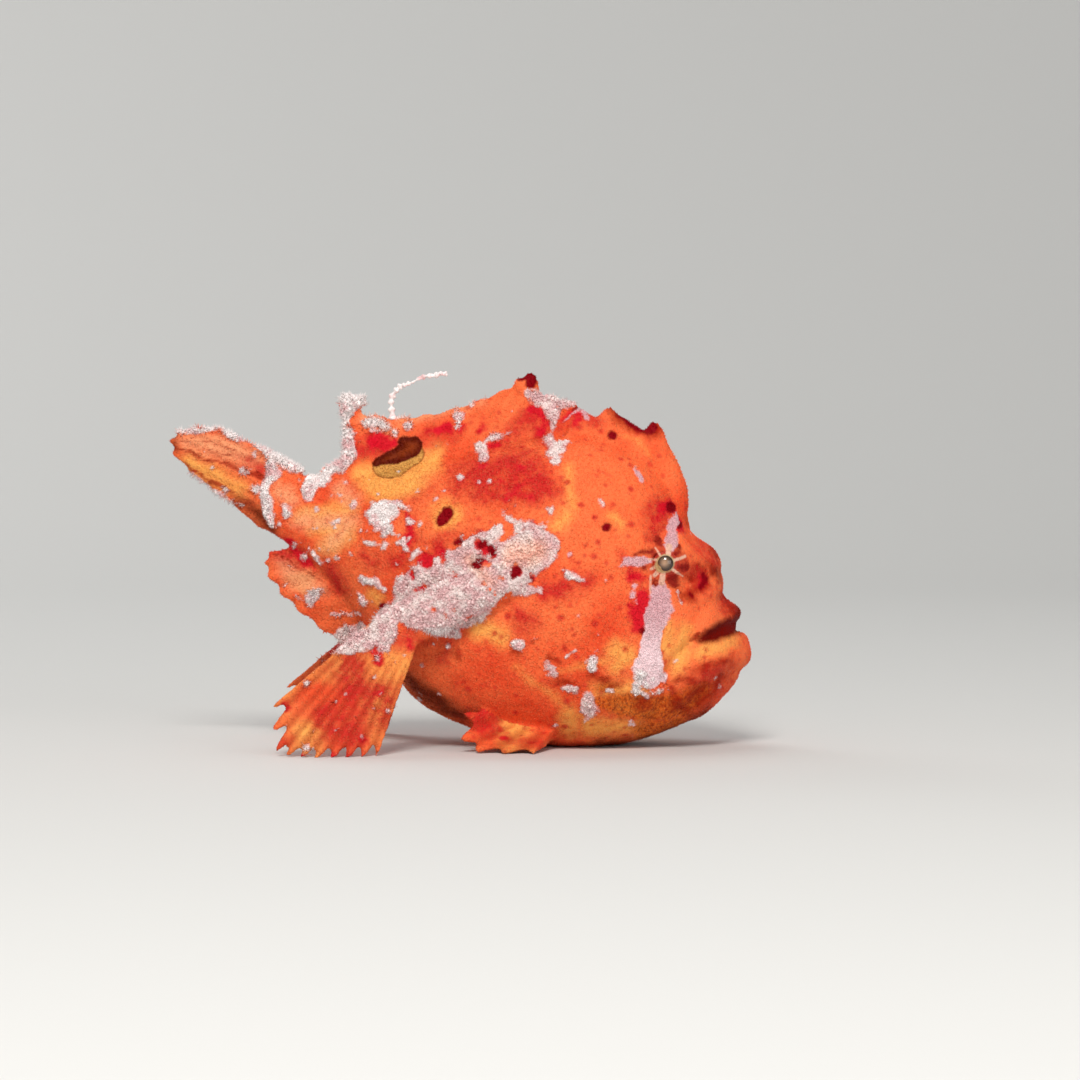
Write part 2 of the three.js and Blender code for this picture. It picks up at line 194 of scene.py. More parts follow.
def lattice(points, size, seed):
    """Soft noise from -1 to 1: each corner of a cubic lattice of that size has a value scattered
    by its own whole numbers, and a point takes the smooth mean of its cell's eight corners."""
    place = points / size + seed * 17.31
    cell = np.floor(place).astype(np.int64)
    f = place - cell
    f = f * f * (3.0 - 2.0 * f)
    total = np.zeros(points.shape[:-1])
    for corner in np.ndindex(2, 2, 2):
        c = cell + np.array(corner)
        scattered = c[..., 0] * 374761393 + c[..., 1] * 668265263 + c[..., 2] * 2147483647 + seed
        scattered = (scattered ^ (scattered >> 13)) * 1274126177
        value = ((scattered ^ (scattered >> 16)) & 0xFFFF) / 32767.5 - 1.0
        share = np.prod(np.where(np.array(corner) == 1, f, 1.0 - f), axis=-1)
        total += value * share
    return total


# Closed grids.


def grid(first, second):
    """Every value of the first with every value of the second, as two tables."""
    return np.meshgrid(first, second, indexing="ij")


def round_angles(count):
    """Angles evenly round a full turn."""
    return np.linspace(0, 2 * np.pi, count, endpoint=False)


def tube(rings):
    """A closed grid of rings: quads between neighbouring rings, and each end ring closed to its
    own middle point. Gives points and faces."""
    count, around = rings.shape[:2]
    points = np.vstack([rings.reshape(-1, 3), rings[0].mean(axis=0), rings[-1].mean(axis=0)])
    i, j = grid(np.arange(count - 1), np.arange(around))
    here = i * around + j
    beside = i * around + (j + 1) % around
    quads = np.stack([here, beside, beside + around, here + around], axis=-1).reshape(-1, 4)
    k = np.arange(around)
    turned = (k + 1) % around
    last = (count - 1) * around
    first_cap = np.stack([turned, k, np.full(around, count * around)], axis=-1)
    last_cap = np.stack([last + k, last + turned, np.full(around, count * around + 1)], axis=-1)
    return points, [*quads.tolist(), *first_cap.tolist(), *last_cap.tolist()]


TAIL_END = BODY[0, 0] - TAIL_CAP + COAT_DEPTH
SNOUT_END = BODY[-1, 0] - COAT_DEPTH


def section(s, least=0.0):
    """The body's section at s: how far its ends draw it in, its middle line's t, its reach over and
    under that line, and its half width. The ends are round: the square root of (1 - tail²)(1 - snout²),
    no less than the least, where tail and snout go from 0 to 1 over the last stretch to each end."""
    tail = np.clip(1 - (s - TAIL_END) / TAIL_CAP, 0, 1)
    snout = np.clip((s - SNOUT_END + SNOUT_CAP) / SNOUT_CAP, 0, 1)
    cap = np.sqrt(np.maximum(least, (1 - tail**2) * (1 - snout**2)))
    top, bottom, half = (through(k, s) for k in (1, 2, 3))
    middle = bottom + MIDDLE_SHARE * (top - bottom)
    return cap, middle, top - middle - COAT_DEPTH, middle - bottom - COAT_DEPTH, half - COAT_DEPTH


def body_surface(u, angle):
    """The body: u runs from tail to snout, closer at both ends, angle from the left flank over the
    back. At each s the section is a squared ellipse about the middle line."""
    s = TAIL_END + (SNOUT_END - TAIL_END) * (u - 0.07 * np.sin(2 * np.pi * u))
    cap, middle, over, under, half = section(s)
    up, out = np.sin(angle), np.cos(angle)
    power = np.where(up > 0, BACK_SQUARENESS, BELLY_SQUARENESS)
    t = middle + np.where(up > 0, over, under) * cap * np.sign(up) * np.abs(up) ** power
    y = half * cap * np.sign(out) * np.abs(out) ** power
    return stand(s, t, y)


def body_gap(s, t, y):
    """How far a point stands off the body's surface, measured from the middle line: its distance
    from that line less the surface's in the same direction. Negative inside."""
    cap, middle, over, under, half = section(s, 0.02)
    reach = np.where(t > middle, over, under) * cap
    power = np.where(t > middle, BACK_SQUARENESS, BELLY_SQUARENESS)
    high = np.abs(t - middle) / reach
    wide = np.abs(y) / (half * cap)
    share = (high ** (2 / power) + wide ** (2 / power)) ** (power / 2) + 1e-6
    past = np.maximum(0, np.maximum(s - SNOUT_END, TAIL_END - s))
    return np.hypot(t - middle, y) * (1 - 1 / share) + past


def sided(name, side):
    """The name with its side: left for 1, right for -1."""
    return name + ("_left" if side > 0 else "_right")


def on_side(side, points):
    """Points of the left side, moved over to the side asked for."""
    return np.array(points) * (1.0, side, 1.0)


class Fin:
    """A fin or hand. Its middle sheet runs from foot(u) to tip(u) in straight rays, u along the
    foot and v out to the margin, bowed sideways by a quarter sine; half(v, u) is how far its two
    faces stand off that sheet. The margin falls back by a scallop between two rays."""

    def __init__(self, name, foot, tip, rays, half, bow=0.0, scallop=0.05, relief=0.3):
        self.name, self.foot, self.tip, self.rays, self.half = name, foot, tip, rays, half
        self.bow, self.scallop, self.relief = bow, scallop, relief

    def sheet(self, u, v):
        """foot(u) + v (tip(u) - foot(u)), moved along y by bow sin(90° v)."""
        u, v = np.broadcast_arrays(u, v)
        foot, tip = curve(self.foot, u), curve(self.tip, u)
        points = foot + (tip - foot) * v[..., None]
        points[..., 1] += self.bow * np.sin(np.pi * v * 0.5)
        return points

    def slopes(self, u, v):
        """The sheet's change along u and along v, from two points close by on either side."""
        step = 0.004
        u0, u1 = np.clip(u - step, 0, 1), np.clip(u + step, 0, 1)
        along = (self.sheet(u1, v) - self.sheet(u0, v)) / (u1 - u0)[..., None]
        out = (self.sheet(u, v + step) - self.sheet(u, v - step)) / (2 * step)
        return along, out

    def rayness(self, u):
        """1 on a ray, 0 midway between two: cos² of the ray count along u."""
        return np.cos(np.pi * (self.rays - 1) * u) ** 2

    def reach(self, u):
        """How far out the margin lies: the grid's reach less the scallop between two rays."""
        return FIN_REACH - self.scallop * (1 - self.rayness(u))

    def built(self, u, v):
        """The half thickness that the grid is built with: the solid's less the coat, and no less
        than the net can hold."""
        return np.maximum(self.half(v, u) - COAT_DEPTH, NET_HALF)

    def solid(self):
        """The fin as a closed grid: each ring runs out along one face and back along the other."""
        u, v = grid(np.linspace(0, 1, 20 * self.rays), np.linspace(0, 1, 40))
        v = v * self.reach(u)
        across = unit(np.cross(*self.slopes(u, v)))
        thick = self.built(u, v)[..., None]
        middle = self.sheet(u, v)
        rings = np.concatenate([middle + across * thick, (middle - across * thick)[:, ::-1]], axis=1)
        return tube(rings)

    def place(self, points):
        """Where points lie on the sheet: the nearest of an even spread of sheet points, then five
        steps that solve the sheet's two slopes for the rest. Gives u, v, the distance off the
        sheet, the distance past its edges and the sheet's own across direction."""
        us, vs = grid(np.linspace(0, 1, 8 * self.rays), np.linspace(0, 1, 30))
        spread = self.sheet(us, vs).reshape(-1, 3)
        near = nearest(spread, points)
        u, v = us.ravel()[near], vs.ravel()[near]
        for _ in range(5):
            along, out = self.slopes(u, v)
            miss = points - self.sheet(u, v)
            aa, ao, oo = ((a * b).sum(-1) for a, b in ((along, along), (along, out), (out, out)))
            ma, mo = (miss * along).sum(-1), (miss * out).sum(-1)
            det = np.maximum(aa * oo - ao * ao, 1e-6)
            u = np.clip(u + np.clip((oo * ma - ao * mo) / det, -0.05, 0.05), 0, 1)
            v = np.clip(v + np.clip((aa * mo - ao * ma) / det, -0.1, 0.1), 0, 1)
        along, out = self.slopes(u, v)
        across = unit(np.cross(along, out))
        miss = points - self.sheet(u, v)
        off = (miss * across).sum(-1)
        past = np.linalg.norm(miss - off[:, None] * across, axis=-1)
        return u, v, off, past, across, unit(out)


class Limb:
    """An arm or spine: flattened rings along a curve, wide(u) in the curve's plane and deep(u)
    across it, closed with round ends."""

    def __init__(self, name, path, wide, deep):
        self.name, self.path, self.wide, self.deep = name, path, wide, deep

    def surface(self, u, angle):
        """path(u) + side deep(u) sin(angle) + flat wide(u) cos(angle), both drawn in to nothing at
        the ends; side is y without its part along the path, flat is square to both."""
        u, angle = np.broadcast_arrays(u, angle)
        middle = curve(self.path, u)
        tangent = heading(self.path, u, 0.002)
        side = unit(ACROSS - tangent * tangent[..., 1:2])
        flat = np.cross(tangent, side)
        end = np.sqrt(np.maximum(0, 1 - np.maximum(0, np.abs(2 * u - 1) * 5 - 4) ** 2))
        deep, wide = (np.maximum(half(u) - COAT_DEPTH, LIMB_HALF) * end for half in (self.deep, self.wide))
        return (middle + side * (deep * np.sin(angle))[..., None]
                + flat * (wide * np.cos(angle))[..., None])

    def solid(self):
        """The limb as a closed grid."""
        return tube(self.surface(*grid(np.linspace(0.001, 0.999, 120), round_angles(64))))


def nearest(spread, points, share=4000):
    """For each point the number of the nearest spread point, by |a|² - 2ab, a share at a time."""
    found = np.empty(len(points), int)
    spread = spread.astype(np.float32)
    square = (spread**2).sum(-1)
    for start in range(0, len(points), share):
        some = points[start:start + share].astype(np.float32)
        found[start:start + share] = np.argmin(square - 2 * some @ spread.T, axis=1)
    return found


# The fins and limbs, as in the solids.


def taper(root, power, end):
    """A half thickness that thins outwards: root (1 - x)^power + end."""
    return lambda x, _=None: root * np.maximum(1 - x, 0) ** power + end


def wavy(mean, swing, waves, start=0.0):
    """A half width that swells and narrows: mean + swing sin(waves u + start)."""
    return lambda u: mean + swing * np.sin(waves * u + start)


dorsal_fin = Fin(
    "dorsal",
    foot=row((2.6, 3.6), (6.5, 5.6), (10, 7.4), (15, 10.4), (22, 14.5), (30, 18.4), (40, 21.5)),
    tip=row((1.6, 8.2), (5.6, 12.4), (2.2, 20.6), (6.5, 19.6), (12.4, 20.6), (18.6, 23.2),
            (24.7, 27.0), (29.4, 30.8), (33.0, 34.0), (34.6, 31.2), (40.2, 31.2)),
    rays=16,
    half=lambda v, u: (2.6 + 1.2 * u) * np.maximum(1 - v, 0) ** 1.3 + 0.34,
    scallop=0.04,
    relief=0.14,
)
third_spine = Fin(
    "third",
    foot=row((40.6, 18), (46, 19), (52, 18), (59.5, 13)),
    tip=row((40.6, 30.6), (42.4, 30.0), (44.8, 29.5), (46.4, 31.6), (48.2, 30.9), (51.5, 29.9),
            (55.5, 28.6), (60.5, 22.5)),
    rays=9,
    half=taper(5.4, 0.8, 0.8),
    scallop=0.0,
    relief=0.0,
)
caudal_fin = Fin(
    "caudal",
    foot=row((-1.5, 7.2), (-2.0, 3.8), (-2.0, 0.6), (-1.8, -2.4), (-1.0, -4.8)),
    tip=row((-17.6, 10.2), (-22.8, 8.8), (-25.2, 6.6), (-24.2, 4.0), (-18.4, 0.8), (-11.5, -1.8),
            (-6.6, -4.4)),
    rays=9,
    half=lambda v, u: (1.5 - 0.4 * np.abs(2 * u - 1)) * np.maximum(1 - v, 0) ** 0.6 + 0.5,
    scallop=0.06,
    relief=0.34,
)
anal_fin = Fin(
    "anal",
    foot=row((4.4, -4.6), (8.0, -7.6), (12.4, -11.6), (17.0, -15.4)),
    tip=row((-3.6, -8.2), (-3.4, -11.0), (0.6, -14.6), (6.4, -17.6), (13.2, -20.2)),
    rays=7,
    half=taper(2.2, 1.2, 0.40),
    scallop=0.07,
    relief=0.36,
)


def hand(side):
    """One pectoral hand: ten rays from the wrist to the ground, spread like fingers."""
    return Fin(
        sided("hand", side),
        foot=on_side(side, [(-11.2, 17.6, 24.4), (-10.2, 18.0, 22.4), (-9.0, 18.2, 20.2),
                            (-7.4, 17.8, 18.0)]),
        tip=on_side(side, [(-31.0, 21.0, 8.0), (-30.0, 23.2, 0.2), (-25.0, 24.8, -0.8), (-19.0, 24.6, -0.8),
                           (-13.2, 22.6, -0.4)]),
        rays=10,
        half=taper(2.2, 1.2, 0.42),
        bow=side * 1.4,
        scallop=0.14,
        relief=0.42,
    )


def pelvic(side):
    """One pelvic fin: five stout rays under the throat, out to the ground."""
    return Fin(
        sided("pelvic", side),
        foot=on_side(side, [(12.4, 7.0, 6.2), (13.6, 8.2, 4.2), (16.8, 9.2, 2.6)]),
        tip=on_side(side, [(1.2, 14.6, 6.6), (1.2, 17.2, 1.3), (6.5, 20.0, 0.35), (13.2, 20.8, 0.35)]),
        rays=5,
        half=taper(1.3, 0.9, 0.42),
        scallop=0.16,
        relief=0.42,
    )


def arm(side):
    """One pectoral arm, from the flank back and down to the wrist."""
    return Limb(
        sided("arm", side),
        path=on_side(side, row((43.0, 5.0, 13.0), (38.0, 1.0, 17.4), (32.0, -4.6, 18.8),
                               (25.8, -10.2, 18.8), (20.0, -15.2, 18.0))),
        wide=lambda u: 5.4 - 0.9 * np.sin(np.pi * u) - u,
        deep=lambda u: 2.9 - 0.5 * u,
    )


second_spine = Limb(
    "second",
    path=row((60.2, 11.5), (60.9, 16.0), (60.6, 19.9), (58.6, 23.6), (56.3, 27.0), (54.2, 31.2)),
    wide=taper(2.8, 0.6, 1.3),
    deep=taper(2.8, 0.8, 1.1),
)
# The lure's rod, laid back on the left side of the head, and the small lure at its end.
lure_rod = Limb(
    "rod",
    path=row((65.4, 11.5, 1.4), (64.9, 15.6, 2.6), (62.6, 18.9, 4.6), (59.9, 22.6, 5.2),
             (57.2, 26.2, 4.4)),
    wide=lambda u: 0.85 - 0.1 * u,
    deep=lambda u: 0.85 - 0.1 * u,
)
lure = Limb(
    "lure",
    path=row((57.6, 25.4, 4.4), (57.2, 26.2, 4.4), (56.2, 27.4, 4.2)),
    wide=wavy(1.45, 0.3, 9),
    deep=wavy(1.4, 0.0, 0),
)

# The ragged lumps of skin at the soft dorsal fin's rear tip.
tip_tuft = Limb(
    "tuft",
    path=row((5.2, 16.6), (3.4, 18.6), (2.9, 20.2), (1.9, 21.4)),
    wide=wavy(1.55, 0.35, 14),
    deep=wavy(1.1, 0.25, 11, 1),
)
tip_fork = Limb(
    "fork",
    path=row((3.1, 19.4), (4.4, 20.6), (5.7, 21.5)),
    wide=wavy(1.4, 0.3, 12, 2),
    deep=wavy(1.0, 0.2, 10),
)

# The round crimson knob where the soft dorsal fin's front edge ends.
knob = Limb(
    "knob",
    path=row((30.4, 30.2), (31.8, 31.6), (33.0, 32.8)),
    wide=wavy(1.9, 0.25, 9),
    deep=wavy(1.5, 0.2, 7, 1),
)

FINS = [dorsal_fin, third_spine, caudal_fin, anal_fin, hand(1), hand(-1), pelvic(1), pelvic(-1)]
LIMBS = [arm(1), arm(-1), second_spine, lure_rod, lure, tip_tuft, tip_fork, knob]


# Meshes.


def make_mesh(name, points, faces):
    """A mesh from points in millimetres and faces, with smooth shading."""
    mesh = bpy.data.meshes.new(name)
    mesh.from_pydata((np.asarray(points) * MM).tolist(), [], faces)
    mesh.update()
    mesh.polygons.foreach_set("use_smooth", np.ones(len(mesh.polygons), bool))
    return mesh


def add_object(name, data):
    """An object of a mesh, camera or lamp, at the origin, in the scene."""
    thing = bpy.data.objects.new(name, data)
    bpy.context.scene.collection.objects.link(thing)
    return thing


def read(items, key, wide, kind):
    """A value of so many numbers from each of a mesh's items, as an array."""
    flat = np.empty(len(items) * wide, kind)
    items.foreach_get(key, flat)
    return flat.reshape(-1, wide)


def points_of(mesh):
    """A mesh's points in millimetres, as an array."""
    return read(mesh.vertices, "co", 3, np.float32).astype(float) / MM


def move_points(mesh, points):
    """Puts points in millimetres back into a mesh."""
    mesh.vertices.foreach_set("co", (points * MM).astype(np.float32).ravel())
    mesh.update()


def normals_of(mesh):
    """The outward normal at each point of a mesh."""
    return read(mesh.vertex_normals, "vector", 3, np.float32).astype(float)


def finished(thing):
    """The object's mesh with its modifiers applied, as a new mesh; the object is removed."""
    graph = bpy.context.evaluated_depsgraph_get()
    mesh = bpy.data.meshes.new_from_object(thing.evaluated_get(graph))
    bpy.data.objects.remove(thing)
    return mesh


def prism(outline):
    """A wedge right across the body: the (s, t) outline drawn at y -40 and at +40, and joined."""
    n = len(outline)
    points = np.vstack([row(*((s, t, y) for s, t in outline)) for y in (-40.0, 40.0)])
    sides = [(k, n + k, n + (k + 1) % n, (k + 1) % n) for k in range(n)]
    return points, [tuple(range(n)), tuple(range(n, 2 * n))[::-1], *sides]


def body_with_gape():
    """The body's grid with the gape cut out of it."""
    rings = body_surface(*grid(np.linspace(0.0005, 0.9995, 260), round_angles(220)))
    body = add_object("body_grid", make_mesh("body_grid", *tube(rings)))
    wedge = add_object("gape", make_mesh("gape", *prism(GAPE)))
    cut = body.modifiers.new("gape", "BOOLEAN")
    cut.operation = "DIFFERENCE"
    cut.solver = "EXACT"
    cut.object = wedge
    mesh = finished(body)
    bpy.data.objects.remove(wedge)
    return mesh


def faces_of(mesh):
    """A mesh's faces as lists of point numbers."""
    return [list(face.vertices) for face in mesh.polygons]


def rough_skin():
    """Body, fins and limbs as one net: all their grids together, kept above the floor, remeshed to
    one even closed surface."""
    body = body_with_gape()
    clouds, faces = [points_of(body)], faces_of(body)
    count = len(clouds[0])
    for piece in [*FINS, *LIMBS]:
        points, more = piece.solid()
        clouds.append(points)
        faces += [[k + count for k in face] for face in more]
        count += len(points)
    points = np.vstack(clouds)
    points[:, 2] = np.maximum(points[:, 2], 0.0)
    whole = add_object("skin_grids", make_mesh("skin_grids", points, faces))
    remesh = whole.modifiers.new("net", "REMESH")
    remesh.mode = "VOXEL"
    remesh.voxel_size = NET * MM
    remesh.adaptivity = 0.0
    return finished(whole)


def edges_of(mesh):
    """A mesh's edges as an array of two point numbers."""
    return read(mesh.edges, "vertices", 2, np.int32)


def ease(points, edges, rounds, pulls=(0.5, -0.52), weight=1.0):
    """Evens out a net: in each round every point moves by each pull in turn, times its weight, along
    the way to the mean of its neighbours. A pull forward with a slightly larger one back keeps the
    net's size; a pull forward alone rounds off creases."""
    ends = np.concatenate([edges[:, 0], edges[:, 1]])
    others = np.concatenate([edges[:, 1], edges[:, 0]])
    count = np.maximum(np.bincount(ends, minlength=len(points)), 1)[:, None]
    for pull in pulls * rounds:
        mean = np.stack([np.bincount(ends, points[others, k], len(points)) for k in range(3)], -1)
        points = points + pull * weight * (mean / count - points)
    return points


def split_near(mesh, centres, radius):
    """Halves the net's faces within a radius of each centre, so that it holds finer folds there."""
    points = points_of(mesh)
    near = np.any([np.linalg.norm(points - centre, axis=1) < radius for centre in centres], axis=0)
    thing = add_object("split", mesh)
    bpy.ops.object.select_all(action="DESELECT")
    thing.select_set(True)
    bpy.context.view_layer.objects.active = thing
    mesh.polygons.foreach_set("select", np.zeros(len(mesh.polygons), bool))
    mesh.vertices.foreach_set("select", near)
    mesh.edges.foreach_set("select", near[edges_of(mesh)].all(axis=1))
    bpy.ops.object.mode_set(mode="EDIT")
    bpy.ops.mesh.select_mode(type="EDGE")
    bpy.ops.mesh.subdivide(number_cuts=1)
    bpy.ops.object.mode_set(mode="OBJECT")
    bpy.data.objects.remove(thing)


# The eyes, as the solids have them.


def eye_place(side):
    """Centre and radius of one eye, in millimetres, from its solid's box."""
    low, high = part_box("eye_left" if side > 0 else "eye_right")
    low, high = np.array(low) / MM, np.array(high) / MM
    return (low + high) / 2, (high - low).mean() / 2


EYES = {side: eye_place(side) for side in (1, -1)}
EYE_RADIUS = EYES[1][1]


# Where each point of the skin belongs, all in millimetres: points within the margin of a fin's box are
# tried, one closer to it than BELONGS can be its own, one within MEETS of two parts lies in a crease,
# and one lower than SUNK under the body's surface stays the body's.
BOX_MARGIN = 2.5
BELONGS = 1.5
MEETS = 1.6
SUNK = -0.4

PARTS = ["body", *[f.name for f in FINS], *[l.name for l in LIMBS]]
LURE_PART = PARTS.index("lure")
FOOT_PARTS = [PARTS.index(sided(name, side)) for name in ("hand", "pelvic") for side in (1, -1)]


class Places:
    """For each point: its part and its u and v on that part, which of a fin's faces it is on, the way
    that the coat lies there, how far it stands off the body and off a fin's sheet, that sheet's across
    direction, and whether it lies in a crease between two parts."""

    def __init__(self, points):
        s, t, y = body_frame(points)
        n = len(points)
        self.s, self.t = s, t
        self.gap = body_gap(s, t, y)
        self.part = np.zeros(n, int)
        self.closest = np.abs(self.gap)
        self.u = np.clip((s + 9) / 92, 0, 1)
        self.v = (np.arctan2(y, section(s)[1] - t) / np.pi + 1) / 2
        self.face = np.zeros(n, int)
        self.lie = np.broadcast_to(row((-1, 0))[0] - row((0, 0))[0], (n, 3)).copy()
        self.off = np.zeros(n)
        self.across = np.zeros((n, 3))
        self.crease = np.zeros(n)
        for number, piece in enumerate([*FINS, *LIMBS], start=1):
            self.claim(points, number, piece)

    def claim(self, points, number, piece):
        """Gives a fin or limb the points that lie on it more closely than on anything before."""
        is_fin = isinstance(piece, Fin)
        us, vs = grid(np.linspace(0, 1, 60), np.linspace(0, 1, 24))
        spread = piece.sheet(us, vs) if is_fin else piece.surface(us, vs * 2 * np.pi)
        low, high = spread.min(axis=(0, 1)) - BOX_MARGIN, spread.max(axis=(0, 1)) + BOX_MARGIN
        near = np.flatnonzero(((points > low) & (points < high)).all(axis=1))
        some = points[near]
        if is_fin:
            u, v, off, past, across, out = piece.place(some)
            away = np.where(past > 0.05, np.hypot(past, off), np.abs(off))
            misfit = np.abs(away - piece.built(u, v))
        else:
            found = nearest(spread.reshape(-1, 3), some)
            u, v = us.ravel()[found], vs.ravel()[found]
            misfit = np.linalg.norm(some - spread.reshape(-1, 3)[found], axis=1)
            out = heading(piece.path, u, 0.02)
            off = np.zeros(len(near))
            across = np.zeros((len(near), 3))
        outside = self.gap[near] > SUNK
        meets = outside & (misfit < MEETS) & (self.closest[near] < MEETS)
        self.crease[near[meets]] = 1.0
        better = outside & (misfit < self.closest[near]) & (misfit < BELONGS)
        to = near[better]
        self.part[to] = number
        for kept, values in ((self.closest, misfit), (self.u, u), (self.v, v), (self.off, off),
                             (self.across, across), (self.face, off > 0), (self.lie, out)):
            kept[to] = values[better]

    def unwrap(self):
        """The places as one flat map: the body by its length and its turn from the belly in the lower
        part, and one rectangle for each face of each fin and for each limb in rows above."""
        flat = np.stack([0.02 + 0.96 * self.u, 0.02 + 0.46 * self.v], axis=-1)
        columns = 6
        for number, piece in enumerate([*FINS, *LIMBS], start=1):
            is_fin = isinstance(piece, Fin)
            mine = self.part == number
            slot = 2 * (number - 1) + self.face[mine] * is_fin
            u0 = (slot % columns) / columns + 0.01
            v0 = 0.51 + (slot // columns) * 0.095
            flat[mine, 0] = u0 + self.u[mine] * (1 / columns - 0.02)
            flat[mine, 1] = v0 + self.v[mine] * 0.085
        return flat


def fine_fins(points, places):
    """Brings each fin from the net's thickness to its own: a point off the sheet by d goes to d times
    the wanted half thickness over the built one, fading in with its height off the body. The wanted
    one is the solid's less the coat, no less than web and rays have, with the rays raised by cos²
    along the foot, most near it and less towards the margin, and never thinner than the web."""
    moved = points.copy()
    for number, piece in enumerate(FINS, start=1):
        mine = np.flatnonzero(places.part == number)
        u, v, off = places.u[mine], places.v[mine], places.off[mine]
        ray = piece.rayness(u)
        least = WEB_HALF + (RAY_HALF - WEB_HALF) * ray
        grows = smooth(0.02, 0.3, v) * (1 - 0.6 * v)
        wanted = np.maximum(piece.half(v, u) - COAT_DEPTH, least) + piece.relief * grows * (ray - 0.6)
        wanted = np.maximum(wanted, WEB_HALF)
        fade = smooth(-0.3, 0.8, places.gap[mine])
        share = 1 + fade * (wanted / piece.built(u, v) - 1)
        moved[mine] += places.across[mine] * (off * (share - 1))[:, None]
    return moved


# Folds of the head, as chains of (s, t) with a width and a height in millimetres.

# Painted shade in the mouth: chains of (s, t, radius) along the slot, dark where the mouth opens and under
# the upper lip's overhang.
MOUTH_SHADE_LINES = [[(71.6, -2.3, 0.3), (73.2, -1.0, 0.9), (75.2, 0.4, 1.3), (77.3, 1.6, 1.2)]]
FOLDS = [
    ("roof of the mouth", [(73.0, -0.8), (75.2, 0.9), (78.6, 2.4)], 1.0, -0.7),
    ("lower lip", [(90, -1.2), (80.3, -3.1), (75.4, -4.95), (72.1, -8.9), (71.3, -12.4)], 2.2, 0.75),
    ("under the lower lip", [(90, -4.4), (79.5, -6.2), (74.7, -10.2), (72.6, -15.0)], 1.3, -0.55),
    ("upper lip", [(86, 9.8), (77.2, 3.6), (74.0, 1.6), (71.8, -0.6)], 1.5, 0.55),
    ("over the upper lip", [(88, 13.0), (74.3, 6.0), (70.5, 2.8), (70.0, -1.3)], 1.1, -0.55),
    ("jaw crease", [(71.1, -2.9), (68.6, -6.0), (67.4, -10.0), (68.4, -14.5), (66.6, -20.0)], 0.9, -0.6),
    ("lip corner", [(71.0, -2.0), (69.6, -4.2)], 0.8, -0.35),
    ("snout crease", [(76.0, 12.0), (71.2, 8.6), (68.6, 4.6)], 1.0, -0.3),
    ("cheek", [(66.0, 3.0), (64.6, -4.0), (64.8, -11.0)], 3.0, 0.3),
]


def depth_in(chains, s, t, least=-9.0):
    """How deep inside a marking each (s, t) lies, in millimetres: over all straight pieces of its
    chains of (s, t, radius), the largest of the radius at the nearest point less the distance to it."""
    best = np.full(s.shape, least)
    for chain in chains:
        for (s0, t0, r0), (s1, t1, r1) in zip(chain, chain[1:]):
            ds, dt = s1 - s0, t1 - t0
            f = np.clip(((s - s0) * ds + (t - t0) * dt) / (ds * ds + dt * dt), 0, 1)
            away = np.hypot(s - s0 - f * ds, t - t0 - f * dt)
            best = np.maximum(best, r0 + f * (r1 - r0) - away)
    return best


def head_relief(points, places):
    """How far the head's skin stands out along its normal: each fold is its height times a soft hill
    across its line, and a shallow hollow rings each eye."""
    s, t = places.s, places.t
    out = np.zeros(len(points))
    head = smooth(58, 64, s) * (np.abs(places.gap) < 3)
    for _, chain, width, height in FOLDS:
        line = [(*point, 0.0) for point in chain]
        out += head * height * bump(depth_in([line], s, t, FAR), width)
    for centre, radius in EYES.values():
        away = np.linalg.norm(points - centre, axis=1) - radius
        out -= 0.3 * bump(away - 1.9, 0.7)
    return out


# The lids, in millimetres: the opening's radius, how high they stand over the ball, the slope they go
# over into, how softly they join the head, how far the skin is sunk in the opening, and how far from
# the eye's middle, outwards and behind it, skin is moved at all.
LID_OPENING = 2.15
LID_STANDS = 0.04
LID_SLOPE = 1.25
LID_SOFT = 1.2
LID_SINK = 0.45
LID_REACH = 8.0
LID_BACK = -5.0


def eye_axis(side):
    """The way that an eye looks."""
    return unit(np.array([-0.04, side, 0.03]))


def with_lids(points):
    """Draws the skin over each eye's ball, up to an opening with a slightly lobed edge. About the
    eye's axis, a skin point at distance rho is raised to the height of a shell round the ball, which
    goes over into a straight slope where it is as steep as that, softly joined to the skin around.
    Inside the opening it is sunk below the eye."""
    moved = points.copy()
    for side, (centre, radius) in EYES.items():
        axis = eye_axis(side)
        front = unit(AHEAD - axis * axis[0])
        away = points - centre
        height = away @ axis
        flat = away - height[:, None] * axis
        rho = np.linalg.norm(flat, axis=1)
        turn = np.arctan2(flat @ np.cross(axis, front) * -side, flat @ front)
        shell = radius + LID_STANDS
        bend = shell * np.sin(np.arctan(LID_SLOPE))
        ball = np.sqrt(shell**2 - np.minimum(rho, bend) ** 2) - LID_SLOPE * np.maximum(rho - bend, 0)
        blend = np.maximum(LID_SOFT - np.abs(height - ball), 0) ** 2 / (4 * LID_SOFT)
        over = np.maximum(height, ball) + blend
        over += 0.05 * bump(rho - LID_OPENING - 0.4, 0.35)
        under = np.sqrt(np.maximum(radius**2 - rho**2, 0.0)) - LID_SINK
        edge = LID_OPENING + 0.10 * np.sin(5 * turn + 1) + 0.10 * np.cos(2 * turn)
        wanted = under + (over - under) * smooth(edge - 0.12, edge + 0.12, rho)
        near = (rho < LID_REACH) & (height > LID_BACK)
        moved[near] += (wanted - height)[near, None] * axis
    return moved
